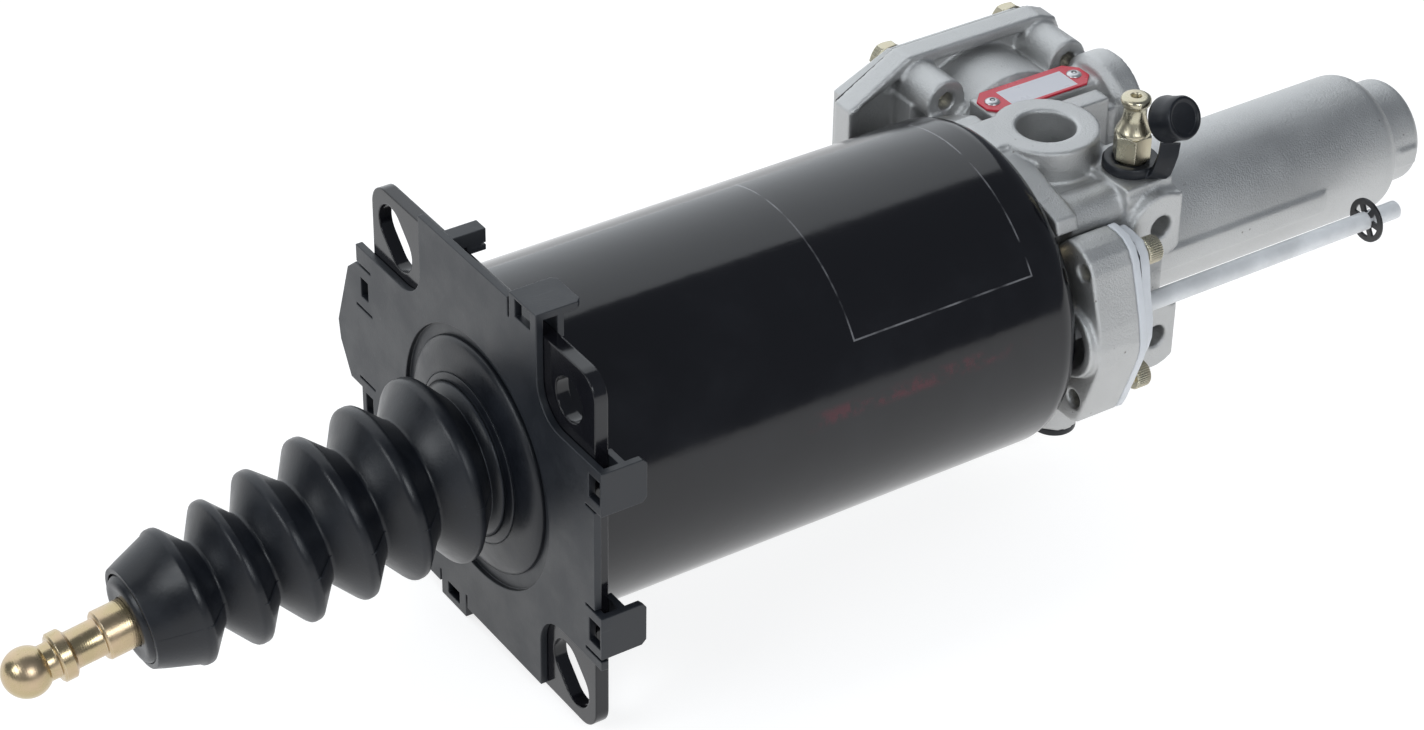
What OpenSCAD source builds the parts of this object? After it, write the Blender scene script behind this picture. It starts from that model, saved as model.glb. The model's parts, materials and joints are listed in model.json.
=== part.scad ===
// Clutch servo: air-over-hydraulic push-rod actuator with a bellows boot.
// Millimetres. X runs along the servo axis towards the valve end, Z is up.
// The origin is the centre of the mounting flange's front face.

// Which sub-part to draw

/* [Mounting flange] */
// Side of the square steel flange
flange_w = 128; // [110:1:160]
// Flange plate thickness
flange_t = 4.5; // [3:0.5:8]
// Flange corner radius
flange_corner_r = 8; // [4:1:16]
// Distance between neighbouring fixing holes
flange_pitch = 100; // [90:1:110]
// Fixing hole diameter and slot width
flange_hole_d = 14.5; // [10:0.5:17]
// End-to-end length of the two diagonal slots
flange_slot_l = 22; // [18:1:26]

/* [Cylinder barrel] */
// Barrel outside diameter
barrel_d = 110; // [90:1:130]
// Barrel wall
barrel_wall = 2; // [1.5:0.5:4]
// Flange front face to the barrel's rear face
barrel_end_x = 187.5; // [160:1:220]
// Outside radius of the barrel's rear rounding
barrel_round_r = 10; // [5:1:16]

/* [Dust cover] */
// Cover front face ahead of the flange face
cover_depth = 2.5; // [1.5:0.1:5]
// Cover reach beyond the flange edge at both sides
cover_over_side = 7.3; // [3:0.1:12]
// Cover reach beyond the flange edge at the top
cover_over_top = 7.8; // [3:0.1:12]
// Flange edge left bare below the cover
cover_short = 1.5; // [0:0.1:4]
// Corner cut-out start across the cover
notch_y = 36.5; // [30:0.5:42]
// Upper corner cut-outs' height above the axis
notch_up = 37.5; // [30:0.5:42]
// Lower corner cut-outs' depth below the axis
notch_down = 33.5; // [30:0.5:42]
// Radius inside each cut-out
notch_r = 12; // [6:1:16]
// Recess radius round the boot
cover_recess_r = 42.4; // [36:0.2:48]
// Recess depth
cover_recess_depth = 1.6; // [0.8:0.2:2]
// Hole for the boot neck
cover_hole_r = 30; // [26:1:34]
// Clip tongue length behind the cover face
clip_l = 15.5; // [11:0.5:20]
// Clip tongue width
clip_w = 15; // [10:1:18]
// Clip tongue thickness
clip_t = 2.4; // [1.6:0.2:4]
// Window beside each clip, along the edge
window_w = 7; // [4:0.5:10]
// Window depth from the tongue into the cover
window_d = 4.5; // [3:0.5:6]
// Width of the slits beside each clip
slit_w = 0.9; // [0.5:0.1:2]

/* [Boot] */
// Number of folds
boot_folds = 6; // [4:1:8]
// Distance between folds
boot_pitch = 17; // [14:0.5:20]
// First fold ahead of the flange face
boot_first = 17.5; // [16:0.5:26]
// Crest radius of the largest fold
boot_crest_r = 29.5; // [26:0.5:34]
// Crest radius lost from fold to fold
boot_step = 1.6; // [0:0.1:2]
// Fold depth
boot_fold_depth = 8; // [5:0.5:10]
// Rubber wall
boot_wall = 1.8; // [1:0.1:3]
// Boot base radius in the cover recess
boot_base_r = 38; // [34:0.5:42]
// Rise of the boot's shallow base
boot_rise = 7; // [4:0.5:8]
// Droop of the boot's axis
boot_droop = 6.6; // [0:0.1:10]

/* [Piston] */
// Piston stroke
stroke = 70; // [40:1:85]
// Piston length
piston_l = 16; // [12:1:24]
// Piston tube outside radius
tube_r = 13.5; // [12:0.5:14]
// Piston tube reach ahead of the push rod's pivot
tube_over = 9; // [8.5:0.5:14]
// Piston front face behind the flange plate at rest
piston_gap = 0.3; // [0.2:0.1:1]
// Running clearance of the piston in the barrel
piston_clear = 0.3; // [0.2:0.05:0.5]
// Hydraulic plunger radius
plunger_r = 12.7; // [10:0.1:16]
// Plunger rear end behind the flange face
plunger_end_x = 280; // [260:1:290]
// Running clearance of the plunger in its bore
plunger_clear = 0.05; // [0.02:0.01:0.1]
// Spring wire radius
spring_wire_r = 2; // [1:0.1:3]
// Spring mean radius
spring_r = 24; // [20:0.5:32]
// Spring coils
spring_turns = 7; // [4:1:10]

/* [Push rod] */
// Pivot ahead of the flange face
pivot_reach = 22.5; // [18:0.5:32]
// Pivot ball radius
pivot_ball_r = 8; // [6:0.5:10]
// Distance from the pivot to the tip ball
rod_l = 129.5; // [110:0.5:150]
// Droop of the rod at rest
rod_droop = 8; // [0:0.5:10]
// Tip ball radius
tip_ball_r = 7.7; // [5:0.1:10]
// Neck radius behind the tip ball
rod_neck_r = 6; // [4:0.1:7]
// Collar and shank radius
rod_shank_r = 7.65; // [6:0.05:9]
// Collar start behind the tip ball's centre
collar_start = 8.5; // [8:0.5:14]
// Collar width
collar_w = 4.5; // [3:0.5:8]
// Shank start behind the tip ball's centre
shank_start = 23; // [20:0.5:30]
// Inner shaft radius
rod_inner_r = 5.5; // [4:0.1:7]
// Seat wall
seat_wall = 2.2; // [1.5:0.1:3]

/* [Valve housing] */
// End plate thickness
plate_t = 8.5; // [6:0.5:14]
// End plate reach inside the barrel's outside
plate_in = 8; // [6:0.5:14]
// Room beside the end plate for the wear indicator
plate_room_y = 27.5; // [24:0.5:32]
// Lower edge of the end plate's near corner
plate_room_z = 33; // [30:0.5:38]
// Rear hydraulic cylinder radius
rear_r = 24.2; // [20:0.2:28]
// Shoulder of the rear cylinder
rear_shoulder_x = 347.5; // [330:0.5:360]
// Reduced end radius
rear_end_r = 18; // [14:0.5:20]
// Rear end of the housing
rear_end_x = 361; // [356:1:390]
// Air port position
port_x = 209.5; // [200:0.5:214]
// Air port boss radius
port_boss_r = 17.5; // [14:0.5:20]
// Air port tapping radius
port_r = 9.7; // [8:0.05:12]
// Air port face height
port_z = 48.75; // [44:0.25:54]
// Air port depth
port_depth = 20; // [14:1:26]
// Fluid port offset from the axis
fluid_y = 22; // [14:0.1:24]
// Fluid port height
fluid_z = 33.8; // [30:0.1:46]
// Fluid port boss radius
fluid_boss_r = 17.2; // [12:0.1:18]
// Fluid port tapping radius
fluid_r = 6.35; // [4:0.05:8]
// Fluid port face
fluid_x = 255; // [250:0.5:258]
// Fluid port depth
fluid_depth = 12; // [10:1:18]

/* [Relay valve] */
// Relay axis behind the barrel's rear face
relay_off_x = 34.4; // [30:0.2:40]
// Relay axis height
relay_z = 20; // [12:1:24]
// Relay barrel radius beside the flange
relay_r = 27; // [22:0.5:29]
// Relay bore radius
relay_bore_r = 15; // [12:0.5:18]
// Gap between the barrel and the relay flange
relay_gap = 0.4; // [0.3:0.1:2]
// Relay flange thickness
relay_flange_t = 5.5; // [4:0.5:8]
// Height of the rim round the relay flange
relay_rim_h = 3.5; // [2:0.5:5]
// Width of that rim
relay_rim_w = 4.5; // [3:0.5:6]
// Bolt spacing along X
relay_pitch_x = 49.7; // [46:0.1:54]
// Upper bolts above the relay axis
relay_bolt_up = 23.2; // [22:0.1:28]
// Lower bolts below the relay axis
relay_bolt_down = 32; // [28:1:34]
// Bolt boss radius
relay_boss_r = 7.5; // [6:0.5:9]
// Bolt boss length
relay_boss_l = 19; // [14:1:24]
// Bolt shank radius
relay_bolt_r = 3; // [2.5:0.5:4]
// Bolt head across flats
relay_bolt_af = 10; // [8:0.5:12]
// Bolt head height
relay_bolt_h = 4.2; // [3:0.2:6]
// Washer thickness
washer_t = 1.2; // [0.8:0.1:2]
// Cover plate thickness
relay_cover_t = 5.2; // [3:0.2:8]
// Gasket thickness
gasket_t = 0.8; // [0.4:0.1:1.5]
// Nameplate length
name_l = 42; // [38:0.5:43]
// Nameplate width
name_w = 13.6; // [10:0.2:13.6]
// Nameplate seat height
name_z = 45.3; // [44:0.1:46]
// Rivet centre from the plate's end
rivet_in = 4.3; // [3.5:0.1:6]

/* [Wear indicator] */
// Indicator axis inside the barrel's outside
ind_in = 13.2; // [12:0.2:16]
// Indicator housing behind the barrel's rear face
ind_off = 3.5; // [2.5:0.1:4]
// Indicator housing thickness
ind_t = 13.5; // [10:0.2:14]
// Gasket plate thickness
ind_gasket_t = 9.8; // [6:0.2:10]
// Housing reach beyond the indicator axis
ind_near = 15.2; // [14:0.2:18]
// Housing reach above and below the axis
ind_high = 33; // [30:0.5:36]
// Screws outside the indicator axis
ind_screw_out = 3.7; // [2:0.1:5]
// Half distance between the two screws
ind_screw_z = 23.8; // [22:0.2:26]
// Screw head radius
ind_head_r = 4.5; // [3.5:0.1:4.8]
// Screw head height
ind_head_h = 5.5; // [4:0.5:6]
// Indicator rod radius
ind_rod_r = 3.1; // [2.5:0.1:4]
// Rear end of the indicator rod
ind_rod_end = 328; // [318:1:340]
// Front end of the indicator rod inside the barrel
ind_rod_front = 112; // [104:1:130]
// Clip position
clip_x = 314.5; // [300:0.5:317]
// Clip outside radius
clip_r = 7.6; // [6:0.2:9]

/* [Bleed screw] */
// Bleed screw position along X
bleed_x = 226.5; // [225:0.5:228]
// Bleed screw offset on the visible side
bleed_y = 22.5; // [21:0.5:24]
// Bleed block face height
bleed_z = 40; // [38:0.5:42]
// Bleed screw hexagon across flats
bleed_af = 11; // [9:1:13]
// Cap ring thickness
ring_t = 3.4; // [2:0.2:4]
// Hexagon height
bleed_hex_h = 9; // [7:0.5:11]

/* [Hidden] */
$fn = 64;
barrel_r = barrel_d / 2;
cover_side = flange_w / 2 + cover_over_side;
cover_top = flange_w / 2 + cover_over_top;
cover_bottom = flange_w / 2 - cover_short;
tube_reach = pivot_reach + tube_over;
relay_x = barrel_end_x + relay_off_x;
relay_face_y = barrel_r + relay_gap;
ind_y = barrel_r - ind_in;
ind_x = barrel_end_x + ind_off;
bore_r = barrel_r - barrel_wall;
seat_gap = 0.1;
face_x = barrel_end_x + plate_t;

module along_x(x0, x1) {
  translate([x0, 0, 0])
    rotate([90, 0, 90])
      linear_extrude(x1 - x0)
        children();
}

module along_y(y0, y1) {
  translate([0, y0, 0])
    mirror([0, 1, 0])
      rotate([90, 0, 0])
        linear_extrude(y1 - y0)
          children();
}

module rev_x() {
  rotate([0, 90, 0])
    rotate_extrude()
      children();
}

module rod_x(x0, x1, r, y = 0, z = 0) {
  translate([x0, y, z])
    rotate([0, 90, 0])
      cylinder(h = x1 - x0, r = r);
}

module rod_y(y0, y1, r, x = 0, z = 0) {
  translate([x, y0, z])
    rotate([-90, 0, 0])
      cylinder(h = y1 - y0, r = r);
}

module rounded(w, h, r) {
  square([w - 2 * r, h], center = true);
  square([w, h - 2 * r], center = true);
  for (sx = [-1, 1])
    for (sy = [-1, 1])
      translate([sx * (w / 2 - r), sy * (h / 2 - r)])
        circle(r);
}

module slot2d(l, w) {
  square([l - w, w], center = true);
  for (s = [-1, 1])
    translate([s * (l - w) / 2, 0])
      circle(w / 2);
}

// Box from its two corners
module box(x0, x1, y0, y1, z0, z1) {
  translate([x0, y0, z0])
    cube([x1 - x0, y1 - y0, z1 - z0]);
}

// Mounting flange and barrel
flange_bore_r = tube_r + 12;
piston_x = flange_t + piston_gap;

module flange_holes() {
  for (s = [-1, 1]) {
    translate([s * flange_pitch / 2, s * flange_pitch / 2])
      rotate(45)
        slot2d(flange_slot_l, flange_hole_d);
    translate([s * flange_pitch / 2, -s * flange_pitch / 2])
      circle(flange_hole_d / 2);
  }
}

module mounting_flange() {
  color([0.05, 0.05, 0.06])
    along_x(0, flange_t)
      difference() {
        rounded(flange_w, flange_w, flange_corner_r);
        circle(flange_bore_r);
        flange_holes();
      }
}

// Half section of a cup with a rounded rear edge
module cup_section(r, x0, x1, rr) {
  translate([0, x0])
    square([r, x1 - rr - x0]);
  translate([0, x0])
    square([r - rr, x1 - x0]);
  translate([r - rr, x1 - rr])
    circle(rr);
}

stud_y = 31;
stud_z = 24;
stud_r = 3.5;
plate_stud_y = 8;
plate_stud_z = -38;

module cylinder_barrel() {
  color([0.03, 0.03, 0.035])
    difference() {
      rev_x()
        intersection() {
          difference() {
            cup_section(barrel_r, flange_t, barrel_end_x, barrel_round_r);
            cup_section(bore_r, flange_t - 1, barrel_end_x - barrel_wall, barrel_round_r - barrel_wall);
            square([plunger_r + 3, barrel_end_x + 1]);
          }
          translate([0, flange_t])
            square([barrel_r, barrel_end_x]);
        }
      for (s = [-1, 1]) {
        rod_x(barrel_end_x - barrel_round_r, barrel_end_x + 1, stud_r, -stud_y, s * stud_z);
        rod_x(barrel_end_x - barrel_round_r, barrel_end_x + 1, stud_r, s * plate_stud_y, plate_stud_z);
      }
      rod_x(barrel_end_x - barrel_round_r, barrel_end_x + 1, ind_rod_r + 1, -ind_y, 0);
    }
}

// Two studs carry the indicator housing, two hold the end plate
stud_back = 4;

module barrel_studs() {
  color([0.75, 0.68, 0.45])
    for (s = [-1, 1]) {
      rod_x(barrel_end_x - barrel_wall, ind_x, stud_r, -stud_y, s * stud_z);
      translate([barrel_end_x - barrel_wall - stud_back, -stud_y, s * stud_z])
        rotate([0, 90, 0])
          cylinder(h = stud_back, r = stud_r + 2, $fn = 6);
      rod_x(barrel_end_x - barrel_wall, face_x, stud_r, s * plate_stud_y, plate_stud_z);
      for (x = [barrel_end_x - barrel_wall - stud_back, face_x])
        translate([x, s * plate_stud_y, plate_stud_z])
          rotate([0, 90, 0])
            cylinder(h = stud_back, r = stud_r + 2, $fn = 6);
    }
}

// Dust cover
bulge = [for (p = [[-5, 32], [-1, 32], [6, 26], [10, 14], [14, 2], [13, -5], [7, -16], [-5, -16]])
  [cover_side + p[0], p[1]]];

module notch2d(y, z, r) {
  far = cover_top + 10;
  translate([y + r, z])
    square([far, far]);
  translate([y, z + r])
    square([far, far]);
  translate([y + r, z + r])
    circle(r);
}

module cover_outline() {
  difference() {
    union() {
      translate([-cover_side, -cover_bottom])
        square([2 * cover_side, cover_top + cover_bottom]);
      polygon(bulge);
    }
    for (sy = [0, 1])
      mirror([sy, 0]) {
        notch2d(notch_y, notch_up, notch_r);
        mirror([0, 1])
          notch2d(notch_y, notch_down, notch_r);
      }
  }
}

// Each clip: turn about X, place along the edge, and outer face from the axis
clips = [
  [0, -29, cover_top],
  [0, 16, cover_top],
  [90, 30, cover_side],
  [90, -22, cover_side],
  [-90, -23, cover_side],
  [-90, 20.5, cover_side],
  [180, -16, flange_w / 2 + seat_gap + clip_t]
];

// Tongue with a hook that grips behind the flange
module clip_tongue(reach) {
  box(-cover_depth, clip_l - cover_depth, -clip_w / 2, clip_w / 2, reach - clip_t, reach);
  box(flange_t + seat_gap, flange_t + clip_t, -clip_w / 2, clip_w / 2, flange_w / 2 - clip_t, reach);
  box(-cover_depth, -seat_gap, -clip_w / 2, clip_w / 2, cover_bottom - clip_t, reach);
}

// Window and two slits in the cover's face
module clip_cuts(reach) {
  box(-cover_depth - 1, 0, -window_w / 2, window_w / 2, reach - clip_t - window_d, reach - clip_t);
  for (y = [-clip_w / 2 - slit_w, clip_w / 2])
    box(-cover_depth - 1, 0, y, y + slit_w, reach - clip_t - window_d - 2, reach + 1);
}

module at_clips() {
  for (c = clips)
    rotate([c[0], 0, 0])
      translate([0, c[1], 0]) {
        $reach = c[2];
        children();
      }
}

module dust_cover() {
  color([0.13, 0.135, 0.14])
    difference() {
      union() {
        along_x(-cover_depth, -seat_gap)
          cover_outline();
        at_clips()
          clip_tongue($reach);
      }
      at_clips()
        clip_cuts($reach);
      along_x(-cover_depth - 1, -cover_depth + cover_recess_depth)
        circle(cover_recess_r);
      along_x(-cover_depth - 1, 1)
        circle(cover_hole_r);
    }
}

// Boot: folds on a drooping axis, with a flat base in the cover's recess
function crest_r(k) = boot_crest_r - k * boot_step;
function crest_s(k) = boot_first + k * boot_pitch;
crest_flat = 1.6;
boot_tip = crest_s(boot_folds - 1) + boot_pitch;
lip_r = 13.4;

function boot_outer(g) = concat(
  [[crest_r(0) - boot_fold_depth - g, 0]],
  [for (k = [0:boot_folds - 1])
    each [
      [crest_r(k) - boot_fold_depth - g, crest_s(k) - boot_pitch / 2],
      [crest_r(k) - g, crest_s(k) - crest_flat],
      [crest_r(k) - g, crest_s(k) + crest_flat]
    ]],
  [[lip_r + 3 - g, boot_tip - 5]]
);

module boot_bellows() {
  rotate([0, -90 - boot_droop, 0])
    difference() {
      rotate_extrude()
        polygon(concat([[0, 0]], boot_outer(0), [[lip_r + 2, boot_tip], [0, boot_tip]]));
      rotate_extrude()
        polygon(concat([[0, -1], [crest_r(0) - boot_fold_depth - boot_wall, -1]],
          boot_outer(boot_wall), [[0, boot_tip - 5]]));
    }
}

recess_x = -cover_depth + cover_recess_depth;
neck_in = crest_r(0) - boot_fold_depth - boot_wall;

module boot() {
  color([0.05, 0.055, 0.065])
    difference() {
      union() {
        boot_bellows();
        rev_x()
          polygon([
            [boot_base_r, recess_x],
            [boot_base_r, recess_x - boot_wall],
            [boot_base_r - 3, recess_x - boot_wall - 1.2],
            [neck_in + 3, recess_x - boot_rise],
            [neck_in, recess_x - boot_rise],
            [neck_in, recess_x - boot_rise + boot_wall],
            [boot_base_r - 5, recess_x]
          ]);
      }
      box(recess_x, pivot_reach, -cover_side, cover_side, -cover_side, cover_side);
      at_pivot()
        rotate([0, -90 - rod_droop, 0])
          cylinder(h = rod_l, r = rod_shank_r + seat_clear);
    }
}

ring_r = 27;

module boot_ring() {
  color([0.5, 0.5, 0.52])
    along_x(-cover_depth + cover_recess_depth + seat_gap, -seat_gap)
      difference() {
        circle(cover_hole_r - seat_gap);
        circle(ring_r - 2);
      }
}

// Coil spring as one swept tube
function coil_p(r, len, turns, t) = [r * cos(360 * turns * t), r * sin(360 * turns * t), len * t];

module coil(r, len, turns, wire, steps, sides) {
  pts = [for (i = [0:steps])
    let (t = i / steps, a = 360 * turns * t, c = coil_p(r, len, turns, t))
      for (j = [0:sides - 1])
        let (b = 360 * j / sides)
          c + [wire * cos(b) * cos(a), wire * cos(b) * sin(a), wire * sin(b)]];
  quads = [for (i = [0:steps - 1])
    for (j = [0:sides - 1])
      each [
        [i * sides + j, i * sides + (j + 1) % sides, (i + 1) * sides + j],
        [i * sides + (j + 1) % sides, (i + 1) * sides + (j + 1) % sides, (i + 1) * sides + j]
      ]];
  start = [[for (j = [0:sides - 1]) j]];
  end = [[for (j = [0:sides - 1]) steps * sides + sides - 1 - j]];
  polyhedron(points = pts, faces = concat(start, [for (f = quads) [f[2], f[1], f[0]]], end));
}

spring_x0 = piston_x + piston_l;

module preload_spring() {
  color([0.45, 0.46, 0.48])
    translate([spring_x0 + spring_wire_r + seat_gap, 0, 0])
      rotate([0, 90, 0])
        coil(spring_r, barrel_end_x - barrel_wall - spring_x0 - 2 * (spring_wire_r + seat_gap),
          spring_turns, spring_wire_r, spring_turns * 16, 6);
}

// Piston group
seat_r = pivot_ball_r + seat_wall;
seat_clear = 0.3;

module piston() {
  color([0.72, 0.73, 0.74])
    rev_x()
      difference() {
        union() {
          translate([0, piston_x])
            square([bore_r - piston_clear, piston_l]);
          translate([0, -tube_reach])
            square([tube_r, tube_reach + piston_x + piston_l / 2]);
        }
        // Seat for the push rod
        translate([0, -tube_reach - 1])
          square([seat_r + seat_clear, tube_reach + 1 - pivot_reach + seat_r + seat_clear]);
        // Groove for the seal and the guide band
        translate([bore_r - piston_clear - 4, piston_x + 8])
          square([10, 4.5]);
        translate([bore_r - piston_clear - 1.6, piston_x + 2])
          square([10, 4]);
        // Seat for the plunger
        translate([0, piston_x + piston_l / 2])
          square([plunger_r, 20]);
        // Lightening recess behind the rim
        translate([spring_r + 6, piston_x + piston_l - 1.5])
          square([12, 20]);
      }
}

module piston_seal() {
  color([0.06, 0.06, 0.06])
    rev_x()
      translate([bore_r - piston_clear - 3.9, piston_x + 8.1])
        square([3.9 + piston_clear - 0.05, 4.3]);
}

module guide_band() {
  color([0.35, 0.3, 0.25])
    rev_x()
      translate([bore_r - piston_clear - 1.5, piston_x + 2.1])
        square([1.5 + piston_clear - 0.05, 3.8]);
}

module plunger() {
  color([0.7, 0.71, 0.73])
    difference() {
      rod_x(piston_x + piston_l / 2, plunger_end_x, plunger_r);
      rod_x(plunger_end_x - 20, plunger_end_x + 1, plunger_r - 5);
    }
}

module seat_ring() {
  color([0.45, 0.45, 0.47])
    rev_x()
      translate([seat_r - 2.8, -tube_reach])
        square([2.8 + seat_clear - 0.05, 1.6]);
}

// Ball seat and push rod
module at_pivot() {
  translate([-pivot_reach, 0, 0])
    children();
}

module ball_seat() {
  color([0.85, 0.85, 0.8])
    at_pivot()
      rev_x()
        difference() {
          intersection() {
            circle(seat_r);
            translate([0, 2 - pivot_ball_r])
              square([seat_r, 2 * pivot_ball_r - 1]);
          }
          circle(pivot_ball_r + 0.1);
          translate([0, -pivot_ball_r - 1])
            square([pivot_ball_r - 1.2, pivot_ball_r]);
        }
}

module push_rod() {
  color([0.78, 0.66, 0.42])
    at_pivot()
      rotate([0, -90 - rod_droop, 0])
        union() {
          sphere(pivot_ball_r);
          cylinder(h = pivot_ball_r + 4, r = rod_inner_r - 0.3);
          translate([0, 0, pivot_ball_r + 3])
            cylinder(h = 9, r = rod_inner_r);
          translate([0, 0, pivot_ball_r + 11])
            cylinder(h = rod_l - shank_start - pivot_ball_r - 11, r = rod_shank_r);
          cylinder(h = rod_l, r = rod_neck_r - 0.9);
          translate([0, 0, rod_l - shank_start - 1])
            cylinder(h = shank_start - 1, r = rod_neck_r);
          translate([0, 0, rod_l - collar_start - collar_w])
            cylinder(h = collar_w, r = rod_shank_r);
          translate([0, 0, rod_l])
            sphere(tip_ball_r);
        }
}

// Valve housing
arm_near = 3;
arm_far = 14;

module port_boss() {
  translate([port_x, 0, relay_z])
    cylinder(h = port_z - relay_z, r = port_boss_r);
  box(barrel_end_x, port_x, -arm_near, arm_far, relay_z, port_z);
  // Rib from the port to the rear
  box(port_x, port_x + port_boss_r + 14, arm_far / 2, arm_far, 0, port_z - 3);
}

plate_r = barrel_r - plate_in;

module end_plate() {
  along_x(barrel_end_x, face_x)
    polygon([
      [-5, plate_r], [-plate_room_y - 7, plate_r - 9], [-plate_room_y - 8.5, plate_room_z],
      [-plate_room_y, plate_room_z], [-plate_room_y, -plate_r + 12], [-14, -plate_r + 3],
      [20, -plate_r + 3], [plate_r - 12, -plate_r + 12], [plate_r, -20], [plate_r, 20],
      [plate_r - 9, plate_r - 9], [20, plate_r]
    ]);
}

module rear_section(x0) {
  sr = 7;
  translate([0, x0])
    square([rear_r, rear_shoulder_x - sr - x0]);
  translate([0, x0])
    square([rear_r - sr, rear_shoulder_x - x0]);
  translate([rear_r - sr, rear_shoulder_x - sr])
    circle(sr);
  translate([0, x0])
    square([rear_end_r, rear_end_x - 3 - x0]);
  translate([0, x0])
    square([rear_end_r - 3, rear_end_x - x0]);
  translate([rear_end_r - 3, rear_end_x - 3])
    circle(3);
}

body_end = barrel_end_x + 47.5;
body_r = 31;
block_x0 = bleed_x - 11;
block_x1 = bleed_x + 7.5;
block_y = bleed_y + 12;

module body_block() {
  rod_x(face_x - 1, body_end - 0.5, body_r);
  box(face_x - 1, body_end, -plate_room_y, 28, -26, 34);
  box(ind_x + ind_t, body_end, -block_y + 1.5, 0, -24, 30);
  // Channel bump in front of the bleed block
  rod_x(face_x - 1, block_x0 + 1, 8, -block_y + 8.6, bleed_z - 9);
  box(face_x - 1, block_x0 + 1, -block_y + 14, 0, relay_z, bleed_z - 3);
}

module bleed_block() {
  box(block_x0, block_x1, -block_y, -8, 18, bleed_z);
  box(block_x0, block_x1 + 1, -block_y - 0.8, -8, 18, bleed_z - 3);
}

lug_r = 12.3;
lug_hole_r = 4;
lug_face = -39;
lug_end = 7.8;
lug_up = [bleed_x + 1, 25];
lug_down = [bleed_x + 3, -17.5];

module lug(p) {
  rod_y(lug_face, lug_face + 11, lug_r, p[0], p[1]);
  box(p[0], p[0] + lug_end, lug_face, lug_face + 11, p[1] - lug_r + 3, p[1] + lug_r - 1.5);
}

relay_left = relay_x - 52;
relay_right = relay_x + relay_pitch_x / 2 + 9.4;
relay_top = relay_z + relay_bolt_up + 9.8;
relay_bottom = relay_z - relay_bolt_down - 9.5;
cut_x = 23;
cut_z = 13.5;
relay_corner = 9;
relay_bend = relay_corner * (1 - sqrt(0.5));

module relay_outline(d) {
  difference() {
    relay_shape(d);
    relay_holes(relay_bolt_r + 0.1);
  }
}

module relay_shape(d) {
  e = d * 0.7;
  polygon([
    [relay_left + d, relay_top - cut_z],
    [relay_left + cut_x + d / 2, relay_top - d],
    [relay_right - relay_corner, relay_top - d],
    [relay_right - relay_bend - e, relay_top - relay_bend - e],
    [relay_right - d, relay_top - relay_corner],
    [relay_right - d, relay_bottom + relay_corner],
    [relay_right - relay_bend - e, relay_bottom + relay_bend + e],
    [relay_right - relay_corner, relay_bottom + d],
    [relay_left + cut_x + d / 2, relay_bottom + d],
    [relay_left + d, relay_bottom + cut_z]
  ]);
}

module relay_holes(r) {
  for (s = [-1, 1])
    for (z = [relay_bolt_up, -relay_bolt_down])
      translate([relay_x + s * relay_pitch_x / 2, relay_z + z])
        circle(r);
}

boss_y0 = relay_face_y - relay_boss_l;
name_x0 = port_x + 13.8 - name_l / 2;
name_y0 = port_boss_r + 0.3;

module relay_body() {
  along_y(relay_face_y, relay_face_y + relay_flange_t)
    relay_outline(0);
  along_y(boss_y0, relay_face_y)
    relay_holes(relay_boss_r);
  rod_y(relay_z, relay_face_y, name_z - relay_z - 0.2, relay_x, relay_z);
  rod_y(name_y0 + name_w + 2, relay_face_y, relay_r, relay_x, relay_z);
  // Rim round the flange, clear of the barrel
  along_y(relay_face_y - relay_rim_h, relay_face_y)
    difference() {
      relay_shape(0);
      relay_shape(relay_rim_w);
      translate([relay_left - 1, relay_bottom - 1])
        square([barrel_end_x - relay_left + 1.6, relay_z - relay_bottom + 5]);
    }
  // Wall between the chamber and the flange
  box(barrel_end_x + 1.5, relay_x, relay_face_y - 11, relay_face_y, relay_bottom + 12, relay_top - 13);
}

module name_pad() {
  box(name_x0, name_x0 + name_l, name_y0, name_y0 + name_w, relay_z, name_z);
}

fluid_x0 = name_x0 + name_l + 0.6;

module fluid_boss() {
  translate([0, fluid_y, fluid_z]) {
    rod_x(fluid_x0 + 2.5, fluid_x, fluid_boss_r);
    translate([fluid_x0, 0, 0])
      rotate([0, 90, 0])
        cylinder(h = 2.5, r1 = fluid_boss_r - 2.5, r2 = fluid_boss_r);
  }
  box(body_end - 10, fluid_x0 + 3, 8, 28, relay_z, name_z - 5);
}

seal_l = 6;
exhaust_r = 8;
exhaust_x = barrel_end_x + 12;
exhaust_y = -26.5;
exhaust_z = -45.5;

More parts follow.
